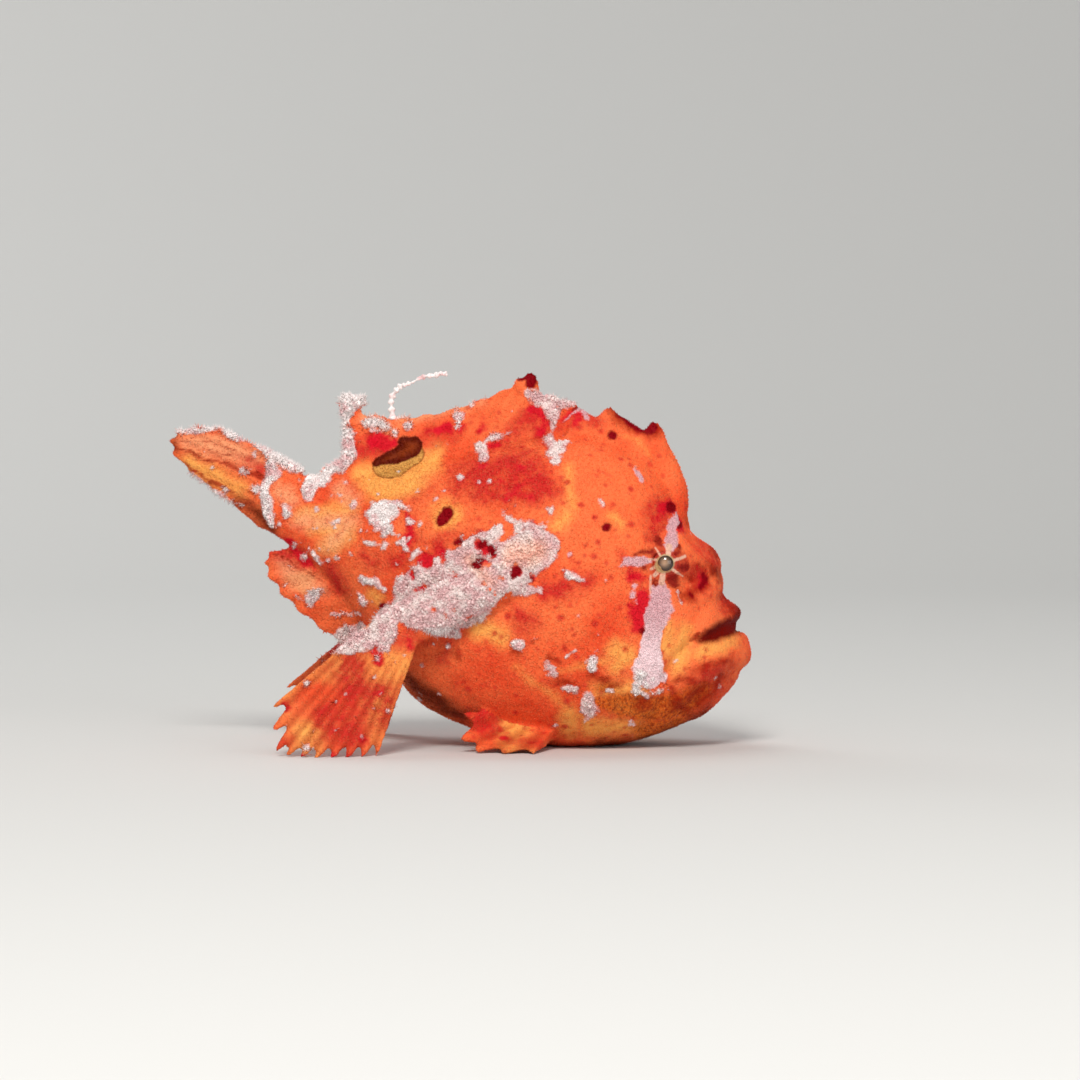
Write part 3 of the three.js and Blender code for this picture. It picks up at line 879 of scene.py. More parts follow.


# Markings of the skin, picked on the photo and carried by both flanks. Each tuple is a chain of
# points, three numbers to a point, in the photo's pixels: across, down and the radius there. A radius
# below zero leaves only the soft edge of a mark.

# Not every mark is the skin's own colour: the shade marks are painted shade, the dark red marks are partly
# painted shade, and two soft gold chains are painted highlight.
MARKS = {
    "crust": [
        (382, 617, 7, 396, 611, 9, 408, 608, 13),
        (408, 607, 12, 425, 597, 30, 455, 591, 39, 480, 571, 32, 512, 564, 24, 537, 549, 21),
        (470, 545, 8, 500, 529, 4), (520, 528, 5, 545, 527, 3), (520, 586, 9, 540, 591, 3),
        (545, 557, 8, 556, 557, 3), (455, 631, 7, 440, 632, 5), (345, 637, 9, 366, 634, 10, 388, 630, 12),
        (392, 618, 8, 386, 640, 8), (530, 394, 6, 545, 400, 10, 560, 398, 10, 574, 402, 5),
        (550, 408, 9, 553, 418, 6, 553, 428, 3), (549, 440, 5, 552, 448, 6, 554, 461, 4),
        (560, 448, 5, 567, 444, 3), (548, 452, 3, 545, 459, 1), (481, 449, 5, 483, 457, 6),
        (487, 441, 2, 493, 436, 5, 498, 437, 3), (504, 436, 2, 512, 433, 1),
        (502, 507, 1, 505, 514, 2, 509, 519, 3, 518, 522, 1, 532, 521, 1),
        (545, 509, 1, 549, 512, 3, 553, 506, 1), (589, 699, 6, 589, 707, 9), (590, 715, 3, 587, 722, 1),
        (565, 690, 2, 573, 691, 4), (546, 662, 2, 551, 671, 4, 557, 677, 3), (605, 690, 1, 612, 692, 3),
        (668, 691, 2, 671, 692, 2), (398, 545, 2, 404, 541, 3), (364, 541, 2, 371, 545, 3, 379, 547, 2),
        (385, 549, 3, 388, 547, 2), (413, 558, 3, 420, 553, 3), (314, 550, 2, 318, 556, 3, 321, 562, 2),
        (295, 546, 3, 297, 543, 2), (304, 557, 3, 306, 555, 2), (280, 523, 3, 281, 526, 2),
        (430, 572, 6, 445, 566, 6), (340, 646, 3, 330, 640, 4),
    ],
    "chalk": [
        (339, 398, 6, 347, 400, 7, 360, 402, 7),
        (350, 404, 7, 345, 410, 8, 341, 420, 8, 339, 430, 7, 342, 437, 5), (338, 414, 2, 333, 412, 1),
        (341, 434, 2, 338, 437, 1),
        (346, 434, 6, 349, 446, 6, 348, 455, 6, 344, 462, 6, 335, 469, 7, 328, 475, 7, 321, 480, 8),
        (312, 477, 8, 310, 486, 7, 308, 495, 5), (315, 466, 3, 316, 463, 1),
        (365, 424, 4, 377, 425, 5, 388, 427, 3), (372, 432, 2, 380, 432, 2),
        (404, 428, 2, 409, 427, 4, 413, 430, 2), (387, 416, 2, 400, 418, 1, 411, 416, 2),
        (459, 415, 4, 461, 420, 3, 457, 430, 1), (475, 401, 2, 472, 406, 2), (442, 408, 1, 448, 406, 1),
        (376, 510, 7, 385, 507, 9, 391, 511, 7), (384, 518, 7, 386, 527, 6, 385, 536, 4),
        (366, 514, 3, 374, 510, 4), (376, 528, 2, 380, 522, 3), (393, 527, 2, 391, 520, 3),
        (396, 504, 3, 404, 508, 3, 411, 510, 1), (410, 523, 3, 409, 520, 1),
        (170, 430, 4, 190, 429, 3, 205, 430, 3, 215, 429, 4), (219, 427, 4, 228, 430, 6, 234, 436, 5),
        (240, 436, 3, 250, 440, 2, 262, 449, 3, 268, 453, 4, 276, 458, 5, 286, 465, 4, 301, 471, 4),
        (271, 463, 4, 274, 474, 6, 268, 485, 4, 266, 496, 6, 267, 508, 5, 271, 519, 3, 275, 527, 2),
        (254, 488, 3, 259, 488, 3), (253, 455, 2, 254, 457, 2), (243, 469, 3, 249, 472, 3),
        (188, 474, 3, 198, 482, 3, 209, 490, 4, 220, 497, 3), (225, 500, 2, 240, 505, 2),
        (282, 506, 2, 288, 513, 4), (311, 602, 6, 316, 596, 7, 321, 593, 4), (305, 603, 2, 308, 598, 2),
        (362, 576, 3, 366, 581, 4, 374, 582, 4, 383, 589, 1), (359, 593, 2, 364, 602, 3),
        (334, 613, 2, 350, 614, 2), (356, 614, 1, 361, 614, 1), (402, 580, 4, 404, 577, 2),
        (511, 645, 3, 519, 645, 5, 523, 643, 3), (534, 640, 2, 537, 638, 2), (590, 661, 4, 592, 667, 5),
        (562, 568, 1, 570, 575, 4, 582, 577, 2), (638, 682, 4, 636, 691, 5, 634, 697, 2),
        (642, 672, 5, 637, 678, 4), (578, 618, 1, 579, 617, 1), (566, 656, 1, 576, 653, 1),
        (601, 500, 2, 603, 504, 2), (675, 664, 1, 677, 662, 1), (337, 556, 2, 338, 557, 2),
        (349, 552, 2, 350, 554, 2), (283, 585, 2, 290, 583, 1), (297, 600, 2, 300, 599, 1),
        (430, 627, 4, 455, 632, 4), (634, 684, 2, 633, 692, 3), (640, 693, 3, 646, 697, 2),
        (652, 692, 2, 660, 690, 3), (664, 684, 1, 669, 690, 2), (646, 686, 3, 644, 676, 2),
        (678, 590, 1, 679, 594, 1.4), (680, 600, 1, 681, 602, 1), (306, 470, 2, 309, 468, 2),
        (352, 505, 2, 356, 500, 1), (345, 482, 1, 347, 483, 1), (340, 495, 1, 342, 496, 1),
        (372, 518, 4, 383, 524, 6, 392, 532, 3), (404, 545, 2, 408, 552, 2), (340, 520, 2, 333, 524, 1),
        (314, 507, 2, 316, 510, 2),
    ],
    "pink": [
        (662, 586, 4, 664, 595, 8, 661, 608, 13, 658, 620, 12, 654, 632, 10, 651, 645, 10, 650, 658, 11,
         648, 668, 14, 650, 675, 14), (662, 678, 5, 664, 681, 3), (651, 588, 1, 655, 600, 4),
        (634, 584, 1, 636, 586, 1), (634, 593, 1, 635, 595, 1), (638, 600, 1, 639, 601, 1),
        (618, 566, 1, 627, 563, 4, 636, 562, 6, 645, 562, 4, 650, 562, 2),
        (678, 512, 1, 676, 518, 4, 671, 527, 6, 671, 536, 6, 671, 544, 5, 670, 549, 3),
        (632, 470, 1, 637, 474, 3, 641, 479, 2), (564, 422, 1, 582, 409, 1), (584, 411, 2, 588, 418, 3),
        (567, 556, 2, 569, 554, 2), (628, 719, 2, 633, 725, 1),
    ],
    "maroon": [
        (447, 513, 6.5, 443, 519, 6.5), (606, 528, 4, 607, 527, 4), (611, 435, 4, 613, 435, 4),
        (520, 375, 6, 527, 372, 8, 533, 376, 7, 531, 384, 5),
        (620, 413, 4, 630, 420, 6, 641, 427, 6, 652, 428, 7), (702, 573, 2, 705, 580, 3, 700, 588, 2),
        (690, 594, 2, 692, 596, 2), (572, 410, 1, 580, 408, 2), (671, 507, 5, 677, 504, 5, 684, 507, 3),
        (680, 513, 3, 678, 517, 1), (687, 521, 4, 680, 526, 3), (481, 545, 4, 485, 543, 3),
        (491, 548, 4, 493, 553, 3), (477, 564, 5, 480, 560, 4), (513, 577, 3, 517, 570, 5),
        (532, 577, 2, 533, 580, 2), (455, 543, 3, 461, 541, 3), (383, 607, 4, 384, 607, 4),
        (643, 631, 4, 644, 630, 2), (399, 617, 2, 400, 619, 1),
    ],
    "crimson": [
        (372, 440, 5, 384, 440, 8, 393, 443, 5), (366, 438, 2, 360, 437, 1),
        (424, 431, 1, 437, 433, 5, 448, 429, 6), (459, 433, 2, 463, 425, 3), (441, 553, 4, 443, 561, 2),
        (430, 557, 6, 427, 563, 7), (482, 547, 10, 493, 550, 10), (478, 562, 7, 484, 558, 6),
        (515, 572, 7, 531, 577, 4), (410, 575, 6, 422, 590, 6), (629, 576, 4, 637, 576, 4, 643, 578, 3),
        (644, 592, 6, 641, 606, 8, 638, 616, 8, 639, 629, 6), (654, 596, 3, 648, 600, 4),
        (660, 507, 4, 657, 517, 3, 654, 526, 2), (664, 508, 6, 676, 506, 8, 684, 508, 6),
        (683, 516, 5, 681, 528, 5), (530, 408, 4, 541, 415, 5, 547, 424, 4, 541, 432, 4),
        (562, 420, 3, 572, 414, 4, 582, 414, 3), (288, 543, 5, 297, 551, 5, 306, 560, 5, 314, 568, 4),
        (408, 514, 2, 411, 532, 4, 408, 546, 4), (481, 465, 2, 485, 465, 3), (515, 452, -1, 525, 452, -1),
        (484, 428, 4, 480, 431, 3), (492, 447, 3, 500, 442, 4), (506, 489, 2, 509, 495, 2),
        (516, 486, 1, 521, 484, 2), (524, 500, 1, 530, 497, 1), (500, 478, 1, 503, 480, 1),
        (577, 424, 4, 580, 423, 3), (699, 571, 2, 704, 579, 3, 699, 587, 2), (506, 497, 2, 512, 492, 1),
        (534, 470, 1, 540, 474, 1), (520, 465, 1, 524, 468, 1),
    ],
    # Partly the skin's own dark red mottles, on the snout, round the eye and on the crest, and partly
    # painted shade: under the chin, on the upper lip's front, along the fold between cheek and chin, on the
    # belly behind the arm and under small crust lumps.
    "dark_red_and_shade": [
        (613, 410, 4, 634, 424, 7, 655, 431, 7), (700, 570, 5, 704, 580, 6, 699, 588, 6),
        (682, 592, 5, 692, 595, 6), (714, 546, 3, 722, 557, 6), (708, 562, 2, 712, 572, 4),
        (688, 576, 3, 694, 580, 4), (733, 596, 5, 741, 608, 6, 735, 618, 6), (727, 604, 4, 733, 612, 5),
        (688, 697, 6, 706, 686, 4), (680, 682, 3, 692, 680, 4), (698, 706, 6, 712, 692, 5, 722, 676, 3),
        (672, 690, 4, 676, 704, 5, 688, 712, 5), (692, 672, 3, 712, 664, 3, 730, 660, 3),
        (402, 632, 0, 400, 650, 3), (690, 566, 0, 694, 572, 0), (515, 652, 3, 518, 651, 3),
        (556, 660, 3, 549, 657, 2), (560, 682, 4, 575, 689, 4), (592, 676, 3, 604, 680, 5),
        (618, 684, 3, 608, 686, 3), (640, 704, 5, 648, 706, 4), (481, 607, 4, 485, 604, 3),
        (458, 652, 2, 460, 656, 2),
    ],
    "ocellus": [
        (381, 468, 9, 390, 469, 10, 400, 464, 11, 411, 454, 13), (378, 468, 6, 388, 473, 6, 398, 471, 6),
    ],
    "ocellus_core": [
        (379, 461, 4, 387, 458, 6.5, 396, 456, 7.5, 404, 452, 8, 411, 447, 10), (404, 442, 6, 413, 445, 9),
        (375, 464, 3, 381, 461, 4),
    ],
    "amber": [
        (600, 702, 6, 625, 707, 13, 655, 710, 15, 682, 706, 15, 705, 690, 8), (640, 730, 9, 680, 724, 8),
        (596, 690, 2, 610, 686, 4),
    ],
    "streak": [
        (172, 447, 1.4, 186, 451, 2.4, 200, 456, 1.8, 225, 464, 1.8, 240, 469, 1.6, 252, 474, 2.2, 266, 479,
         2.6), (184, 463, 1.4, 205, 477, 2, 218, 485, 2.6, 234, 492, 2), (205, 450, 0.8, 235, 458, 1),
        (176, 440, 0.8, 210, 444, 1, 236, 452, 0.8),
        (347, 427, 1, 358, 428, 1.2, 365, 434, 1.4, 372, 437, 1.6),
        (272, 556, 1.2, 290, 560, 1.4, 312, 575, 1.2, 338, 592, 0.8), (276, 546, 1.2, 292, 552, 1.4),
        (690, 640, 1.2, 701, 636, 1.6), (664, 676, 1.4, 668, 684, 1.6),
    ],
    "red": [
        (358, 448, 9, 378, 444, 12, 392, 444, 6), (425, 436, 5, 440, 436, 9, 452, 434, 6),
        (462, 485, 14, 490, 478, 24, 525, 478, 26, 545, 490, 12), (505, 440, 8, 530, 420, 10, 545, 440, 6),
        (560, 424, 5, 580, 416, 6, 598, 420, 5), (702, 548, 7, 714, 560, 8), (690, 572, 7, 700, 588, 7),
        (728, 604, 8, 738, 612, 7), (696, 680, 6, 713, 672, 6, 728, 662, 2), (716, 690, 3, 722, 680, 3),
        (412, 500, 1, 425, 490, 3), (414, 540, 6, 400, 565, 5, 380, 565, 7, 366, 560, 7),
        (330, 565, 7, 342, 590, 8), (520, 612, 8, 530, 625, 7), (548, 592, 11, 575, 585, 9, 590, 580, 5),
        (530, 640, 4, 522, 630, 4), (250, 545, 8, 275, 552, 9, 300, 560, 7), (625, 560, 4, 640, 580, 4),
        (470, 536, 3, 440, 545, 6), (402, 620, 4, 420, 640, 1, 450, 645, 1, 440, 662, 0),
        (655, 513, 12, 658, 532, 8), (245, 462, 4, 262, 472, 5),
    ],
    "gold": [
        (515, 665, -6, 540, 688, -4, 570, 710, -2, 590, 722, 0), (560, 672, -5, 600, 662, -3, 625, 655, -1),
        (362, 472, 6, 378, 487, 11, 408, 482, 11, 430, 463, 8, 437, 450, 3), (388, 494, 4, 400, 488, 4),
        (446, 516, 9, 447, 516, 9), (318, 525, 6, 342, 530, 9, 330, 545, 6), (300, 515, 2, 350, 510, 3),
        (590, 726, 6, 640, 728, 3), (600, 690, 4, 640, 690, 3),
        # Painted highlight: the soft chains at (568, 470) and (622, 436) lighten the hump where light falls
        # on it; the other gold chains are the skin's own colour.
        (188, 461, 4, 205, 471, 6, 225, 482, 5, 240, 488, 4), (568, 470, -1, 572, 505, -2),
        (622, 436, -7, 638, 441, -5, 648, 456, -7), (558, 525, 1, 566, 515, 0), (480, 628, 6, 500, 636, 5),
        (615, 650, 4, 628, 655, 4, 615, 668, 2), (568, 715, 6, 570, 730, 4), (620, 705, 4, 650, 712, 0),
        (685, 630, 2, 680, 650, 6, 678, 668, 4), (700, 652, 3, 730, 642, 2), (620, 525, -2, 610, 515, -2),
        (376, 597, 3, 378, 598, 3), (298, 577, 3, 305, 583, 2), (670, 625, 0, 668, 650, 4),
    ],
    "peach": [
        (188, 442, 6, 222, 448, 9, 255, 460, 8), (282, 562, 6, 298, 578, 10, 318, 590, 6),
        (300, 520, 5, 350, 522, 6, 330, 545, 5), (352, 500, 4, 340, 490, 4), (512, 556, 9, 540, 552, 9),
        (470, 560, 4, 492, 580, 4), (400, 420, 1, 440, 413, 0, 480, 400, 0), (365, 418, 3, 390, 432, 2),
        (280, 490, 4, 290, 500, 4),
    ],
    # Painted shade: every chain of "shade" darkens a place where shade falls: under the tail stalk, on the
    # belly behind the arm where its shadow lies, under the chin and belly by the floor, on the upper lip's
    # front, and at a small spot each on the tail fin and the snout.
    "shade": [
        (238, 501, 4, 250, 506, 6, 262, 516, 6, 273, 530, 4),
        (402, 672, 3, 417, 687, 9, 440, 704, 8, 463, 717, 5), (176, 442, 2, 172, 447, 3),
        (640, 742, 6, 680, 728, 5, 710, 712, 4), (600, 745, 5, 640, 745, 5),
        (735, 600, 0, 740, 607, 2, 735, 616, 2), (716, 571, 1, 720, 580, 1),
    ],
    "pit": [
        (481, 545, 5, 485, 543, 4), (490, 548, 5, 493, 553, 4, 485, 552, 3),
        (477, 564, 5, 480, 560, 4, 488, 563, 2), (513, 577, 3, 517, 570, 5), (532, 576, 3, 534, 580, 2),
        (441, 553, 4, 443, 561, 2), (430, 556, 5, 427, 563, 6), (494, 592, 1, 495, 594, 1),
        (484, 582, 1, 485, 583, 1), (433, 606, 1, 434, 607, 1), (446, 613, 2, 447, 616, 1),
        (455, 609, 1, 456, 610, 1), (450, 571, 1, 456, 574, 1), (500, 575, 1, 503, 577, 1),
        (488, 589, 1, 489, 590, 1), (416, 590, 3, 424, 587, 3), (468, 618, 1, 471, 616, 1),
        (412, 572, 2, 414, 578, 2),
    ],
}
# Marks that fade towards the middle of the head, marks with an even outline, and marks that only
# the trunk and its fins carry, not the hands and feet.
HEAD_SIDES = ("maroon", "crimson", "pink", "chalk", "crust")
EVEN_MARKS = ("maroon", "ocellus", "ocellus_core", "pit")
TRUNK_ONLY = ("shade", "amber", "maroon", "red", "gold", "dark_red_and_shade", "streak", "pink", "peach")
# The hands' and feet's own marks: soft noise of a swing, size and seed, less a depth.
FOOT_MARKS = (("red", 3.5, 4.6, 41, 0.4), ("gold", 3.5, 5.6, 43, 1.2), ("crimson", 2.6, 2.6, 45, 1.5))
# The number of small pale flecks, and the eye's place on the flank, round which marks are calmer.
FLECKS = 320
EYE_AT = (62.6, 8.8)
# How far out from the middle plane a mark is taken to lie off the body, on a fin, and where along s
# the tail fin takes over from the stalk.
FIN_DEPTH = 0.6
TAIL_FIN_AT = -8.0


def flank(s, t):
    """How far out the solid body's flank lies at s and t: the half width times the root of (1 - rise²)
    to the section's power, where rise is the height's share of the reach from the middle line, to one
    over that power, and times the root of (1 - snout²) at the round snout. Off the body, and at the
    least, it is the fins' depth."""
    top, bottom, half = (through(k, s) for k in (1, 2, 3))
    middle = bottom + MIDDLE_SHARE * (top - bottom)
    high = t > middle
    power = np.where(high, BACK_SQUARENESS, BELLY_SQUARENESS)
    rise = np.abs(t - middle) / np.where(high, top - middle, middle - bottom)
    rise = np.minimum(1, rise ** (1 / power))
    snout = np.clip((s - BODY[-1, 0] + SNOUT_CAP) / SNOUT_CAP, 0, 1)
    width = half * np.sqrt(1 - snout**2) * np.sqrt(1 - rise**2) ** power
    on_body = (t <= top) & (t >= bottom) & (s >= TAIL_FIN_AT) & (s <= BODY[-1, 0])
    return np.maximum(FIN_DEPTH, np.where(on_body, width, 0))


def from_photo(chain, digits=1):
    """A chain of the photo's points as rows of s, t and radius in millimetres. Each pixel's line of sight
    is followed to the right flank in twelve rounds, where each round's depth is the mean of the last
    depth and the flank's own there. Places are rounded to a tenth of a millimetre, radii to the digits."""
    across, down, radius = np.reshape(chain, (-1, 3)).T
    pixel = FRAME_WIDTH / MM / PHOTO_WIDTH
    towards = np.array([0.0, np.cos(ELEVATION), -np.sin(ELEVATION)]) * DISTANCE / MM
    upright = np.array([0.0, np.sin(ELEVATION), np.cos(ELEVATION)])
    stance = np.array(AIM) / MM - towards
    sight = towards + pixel * (np.outer(across - PHOTO_WIDTH / 2, AHEAD)
                               + np.outer(PHOTO_WIDTH / 2 - down, upright))
    depth = np.full(len(across), FIN_DEPTH)
    for _ in range(12):
        far = (-depth - stance[1]) / sight[:, 1]
        s, t = body_frame(stance + far[:, None] * sight)[:2]
        depth = (depth + flank(s, t)) / 2
    return np.stack([np.round(s, 1), np.round(t, 1), np.round(radius * pixel, digits)], axis=1)


# The marks in the body frame, and the thin streaks' radii to a hundredth of a millimetre.
MARK_LINES = {name: [from_photo(chain, 2 if name == "streak" else 1) for chain in chains]
              for name, chains in MARKS.items()}


# Round each eye, in millimetres to the front and up from its middle: pale spokes, and dark red
# patches between them, as chains of (front, up, radius).
EYE_SPOKES = [
    [(0.3, 1.2, 0.42), (0.5, 2.8, 0.52)],
    [(-0.9, 1.2, 0.22), (-1.8, 2.7, 0.1)],
    [(-1.3, 0.6, 0.24), (-3.0, 0.8, 0.16)],
    [(-1.2, -0.4, 0.36), (-2.7, -0.9, 0.2)],
    [(-0.9, -0.9, 0.5), (-2.0, -1.9, 0.32)],
    [(-0.5, -1.3, 0.42), (-0.8, -3.2, 0.55)],
    [(1.0, -0.9, 0.26), (2.9, -2.2, 0.14)],
    [(1.2, 0.5, 0.28), (3.2, 1.2, 0.22)],
    [(-2.7, -2.0, 0.14), (-2.8, -4.9, 0.16)],
]
EYE_DARKS = [
    [(1.1, -2.8, 1.1), (1.7, -3.7, 0.6)],
    [(2.0, -0.4, 0.3), (3.6, -0.8, 0.6)],
    [(2.3, 3.0, 0.65), (2.4, 2.6, 0.4)],
    [(1.6, 1.7, 0.3), (2.3, 2.0, 0.3)],
    [(-1.3, 4.0, 0.7), (-1.1, 3.4, 0.4)],
    [(-2.4, 2.0, 0.45), (-4.3, 2.0, 0.35), (-5.6, 1.5, 0.25)],
    [(-3.8, -0.6, 0.5), (-3.9, -0.7, 0.45)],
    [(-1.7, 1.5, 0.25), (-2.4, 1.4, 0.25)],
]
PORE = (-1.8, -3.2)


def eye_marks(points):
    """Depth inside the pale spokes, the dark patches with a small ringed pore, and the red ground round
    the nearer eye: chains in the plane of x and z about that eye's middle, ended where the skin turns
    away from that plane."""
    side = np.where(points[:, 1] > 0, 1, -1)
    centre = np.where((side > 0)[:, None], EYES[1][0], EYES[-1][0])
    front, up = points[:, 0] - centre[:, 0], points[:, 2] - centre[:, 2]
    pole = centre + EYE_RADIUS * np.stack([0 * front, side, 0 * up], axis=-1)
    reach = np.hypot(front, up)
    away = np.linalg.norm(points - pole, axis=1)
    beyond = 3.0 * smooth(0.7, 1.8, away - reach) + 9.0 * (away > 9)
    ring = np.abs(np.hypot(front - PORE[0], up - PORE[1]) - 0.45)
    darks = np.maximum(depth_in(EYE_DARKS, front, up), 0.12 - ring)
    return depth_in(EYE_SPOKES, front, up) - beyond, darks - beyond, 3.4 - reach - beyond


def paint(points, part):
    """All the markings at these points, as depths in millimetres. The flank's places are stirred by
    soft noise, so that outlines are ragged, and more so on the left side, so that the two sides
    aren't twins. Small pale flecks are scattered balls, and the hands' and feet's marks are noise."""
    s, t, y = body_frame(points)
    left = smooth(-1.0, 3.0, y)
    stir_s, stir_t = (0.5 * lattice(points, 2.2, k) + 0.25 * lattice(points, 0.9, k + 1) for k in (3, 5))
    broad_s, broad_t = (left * 3.0 * lattice(points, 11.0, k) for k in (7, 8))
    near_eye = 1 - 0.6 * smooth(6.5, 3.0, np.hypot(s - EYE_AT[0], t - EYE_AT[1]))
    marks = {}
    for name, lines in MARK_LINES.items():
        calm = 0.3 if name in EVEN_MARKS else 1.0
        marks[name] = depth_in(lines, s + near_eye * (broad_s + calm * stir_s),
                               t + near_eye * (broad_t + calm * stir_t))
    fleck = np.full(len(points), -9.0)
    stirred = points + 0.25 * stir_s[:, None]
    for centre, radius in zip(fleck_centres, fleck_radii):
        fleck = np.maximum(fleck, radius - np.linalg.norm(stirred - centre, axis=1))
    middle = 2.5 * smooth(4.5, 1.5, np.abs(y)) * smooth(54, 60, s)
    for name in HEAD_SIDES:
        marks[name] -= middle
    # The slot mark is painted shade in the mouth's opening and under the upper lip.
    marks["slot"] = depth_in(MOUTH_SHADE_LINES, s, t)
    marks["chalk"] = np.maximum(marks["chalk"], np.minimum(fleck, -marks["slot"]))
    marks["crust"] = np.minimum(marks["crust"], -marks.pop("pit"))
    marks["chalk"] = np.where(part == LURE_PART, 0.6, marks["chalk"])
    limbs = np.isin(part, FOOT_PARTS)
    for name in TRUNK_ONLY:
        marks[name] = np.where(limbs, -4.0, marks[name])
    for name, swing, size, seed, less in FOOT_MARKS:
        marks[name] = np.where(limbs, swing * lattice(points, size, seed) - less, marks[name])
    marks["spoke"], marks["eye_dark"], marks["eye_red"] = eye_marks(points)
    marks["low"] = smooth(3.0, -9.0, t)
    return {name: np.clip(depth, -4.0, 4.0) for name, depth in marks.items()}


def put_value(mesh, name, values):
    """Stores one number for each point of a mesh."""
    layer = mesh.attributes.new(name, "FLOAT", "POINT")
    layer.data.foreach_set("value", values.astype(np.float32))


chance = np.random.default_rng(7)

skin_mesh = rough_skin()
points = ease(points_of(skin_mesh), edges_of(skin_mesh), 3)
move_points(skin_mesh, points)
split_near(skin_mesh, [c for c, _ in EYES.values()], FINE_RADIUS)
points = points_of(skin_mesh)
edges = edges_of(skin_mesh)
points = ease(points, edges, 2)
places = Places(points)
points = ease(points, edges, 6, (0.5,), CREASE_WEIGHT * places.crease[:, None])
points = fine_fins(points, places)
points = ease(points, edges, 1)
move_points(skin_mesh, points)
normals = normals_of(skin_mesh)
places = Places(points)
points = with_lids(points + normals * head_relief(points, places)[:, None])

# Pale flecks scattered over the skin, thicker towards the tail and the arm.
picked = chance.integers(0, len(points), FLECKS * 3)
eye_far = np.minimum(*(np.linalg.norm(points[picked] - c, axis=1) for c, _ in EYES.values()))
kept = chance.random(FLECKS * 3) < (0.06 + 0.94 * smooth(42, 12, places.s[picked])) * (eye_far > 7)
fleck_centres = points[picked[kept][:FLECKS]]
fleck_radii = 0.08 + 0.5 * chance.random(len(fleck_centres)) ** 2

marks = paint(points, places.part)
# How dark each fin's web is between its rays.
marks["web"] = np.zeros(len(points))
for number, (fin, share) in enumerate(zip(FINS, (0.25, 0.0, 0.5, 0.2, 0.8, 0.8, 0.8, 0.8)), start=1):
    mine = places.part == number
    marks["web"][mine] = share * (1 - fin.rayness(places.u[mine])) * smooth(0.1, 0.4, places.v[mine])
crusty = smooth(-0.1, 0.5, np.maximum(marks["crust"], marks["chalk"]))
lumps = 0.20 * lattice(points, 5.0, 21) + 0.10 * lattice(points, 1.7, 22)
lumps += 0.04 * lattice(points, 0.9, 25)
lumps += smooth(64, 68, places.s) * 0.10 * np.maximum(lattice(points, 1.3, 26), -0.3)
grit = 0.22 + 0.22 * lattice(points, 0.8, 23) + 0.12 * lattice(points, 1.6, 24)
thin = np.where(places.part == 0, 1.0, 0.45)
points = points + normals * (thin * (lumps + crusty * grit))[:, None]
points[:, 2] = np.maximum(points[:, 2], 0.0)
move_points(skin_mesh, points)
for name, depth in marks.items():
    put_value(skin_mesh, name, depth)

skin = add_object("skin", skin_mesh)
skin_mesh.polygons.foreach_set("use_smooth", np.ones(len(skin_mesh.polygons), bool))
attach(skin, "root")
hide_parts(*[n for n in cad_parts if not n.startswith("eye_")])


# Materials.


def colour(red, green, blue):
    """A colour given as on screen, from 0 to 255, as the light values that materials use."""
    share = np.array([red, green, blue]) / 255.0
    light = np.where(share <= 0.04045, share / 12.92, ((share + 0.055) / 1.055) ** 2.4)
    return (*light.tolist(), 1.0)


ORANGE = colour(252, 120, 69)
DEEP_ORANGE = colour(238, 86, 48)
RED = colour(206, 34, 36)
GOLD = colour(255, 180, 92)
PEACH = colour(252, 172, 124)
GRANULE = colour(255, 196, 140)
CRUST_PINK = colour(234, 194, 194)
CRUST_PALE = colour(248, 230, 226)
CRUST_BROWN = colour(160, 108, 100)
CHALK = colour(252, 242, 240)
CHALK_PINK = colour(246, 206, 206)
STRIPE_PINK = colour(228, 184, 190)
STRIPE_PALE = colour(252, 228, 232)
SPOKE_CREAM = colour(232, 184, 160)
IRIS_CREAM = colour(196, 168, 118)
IRIS_RED = colour(188, 60, 42)
PUPIL_DARK = colour(30, 14, 8)
PUPIL_LENS_LIGHT = colour(184, 146, 116)
EYE_PATCH = colour(140, 22, 20)
MAROON = colour(138, 0, 14)
CRIMSON = colour(216, 12, 40)
DARK_RED = colour(166, 34, 10)
MOUTH_SHADE = colour(112, 8, 0)
OCELLUS_DARK = colour(92, 16, 0)
OCELLUS_BROWN = colour(138, 52, 14)
OCELLUS_TAN = colour(212, 156, 80)
OCELLUS_EDGE = colour(150, 84, 34)
AMBER = colour(230, 116, 38)
AMBER_DARK = colour(158, 58, 14)
STREAK_RED = colour(164, 40, 18)
SHADE_BROWN = colour(90, 12, 0)


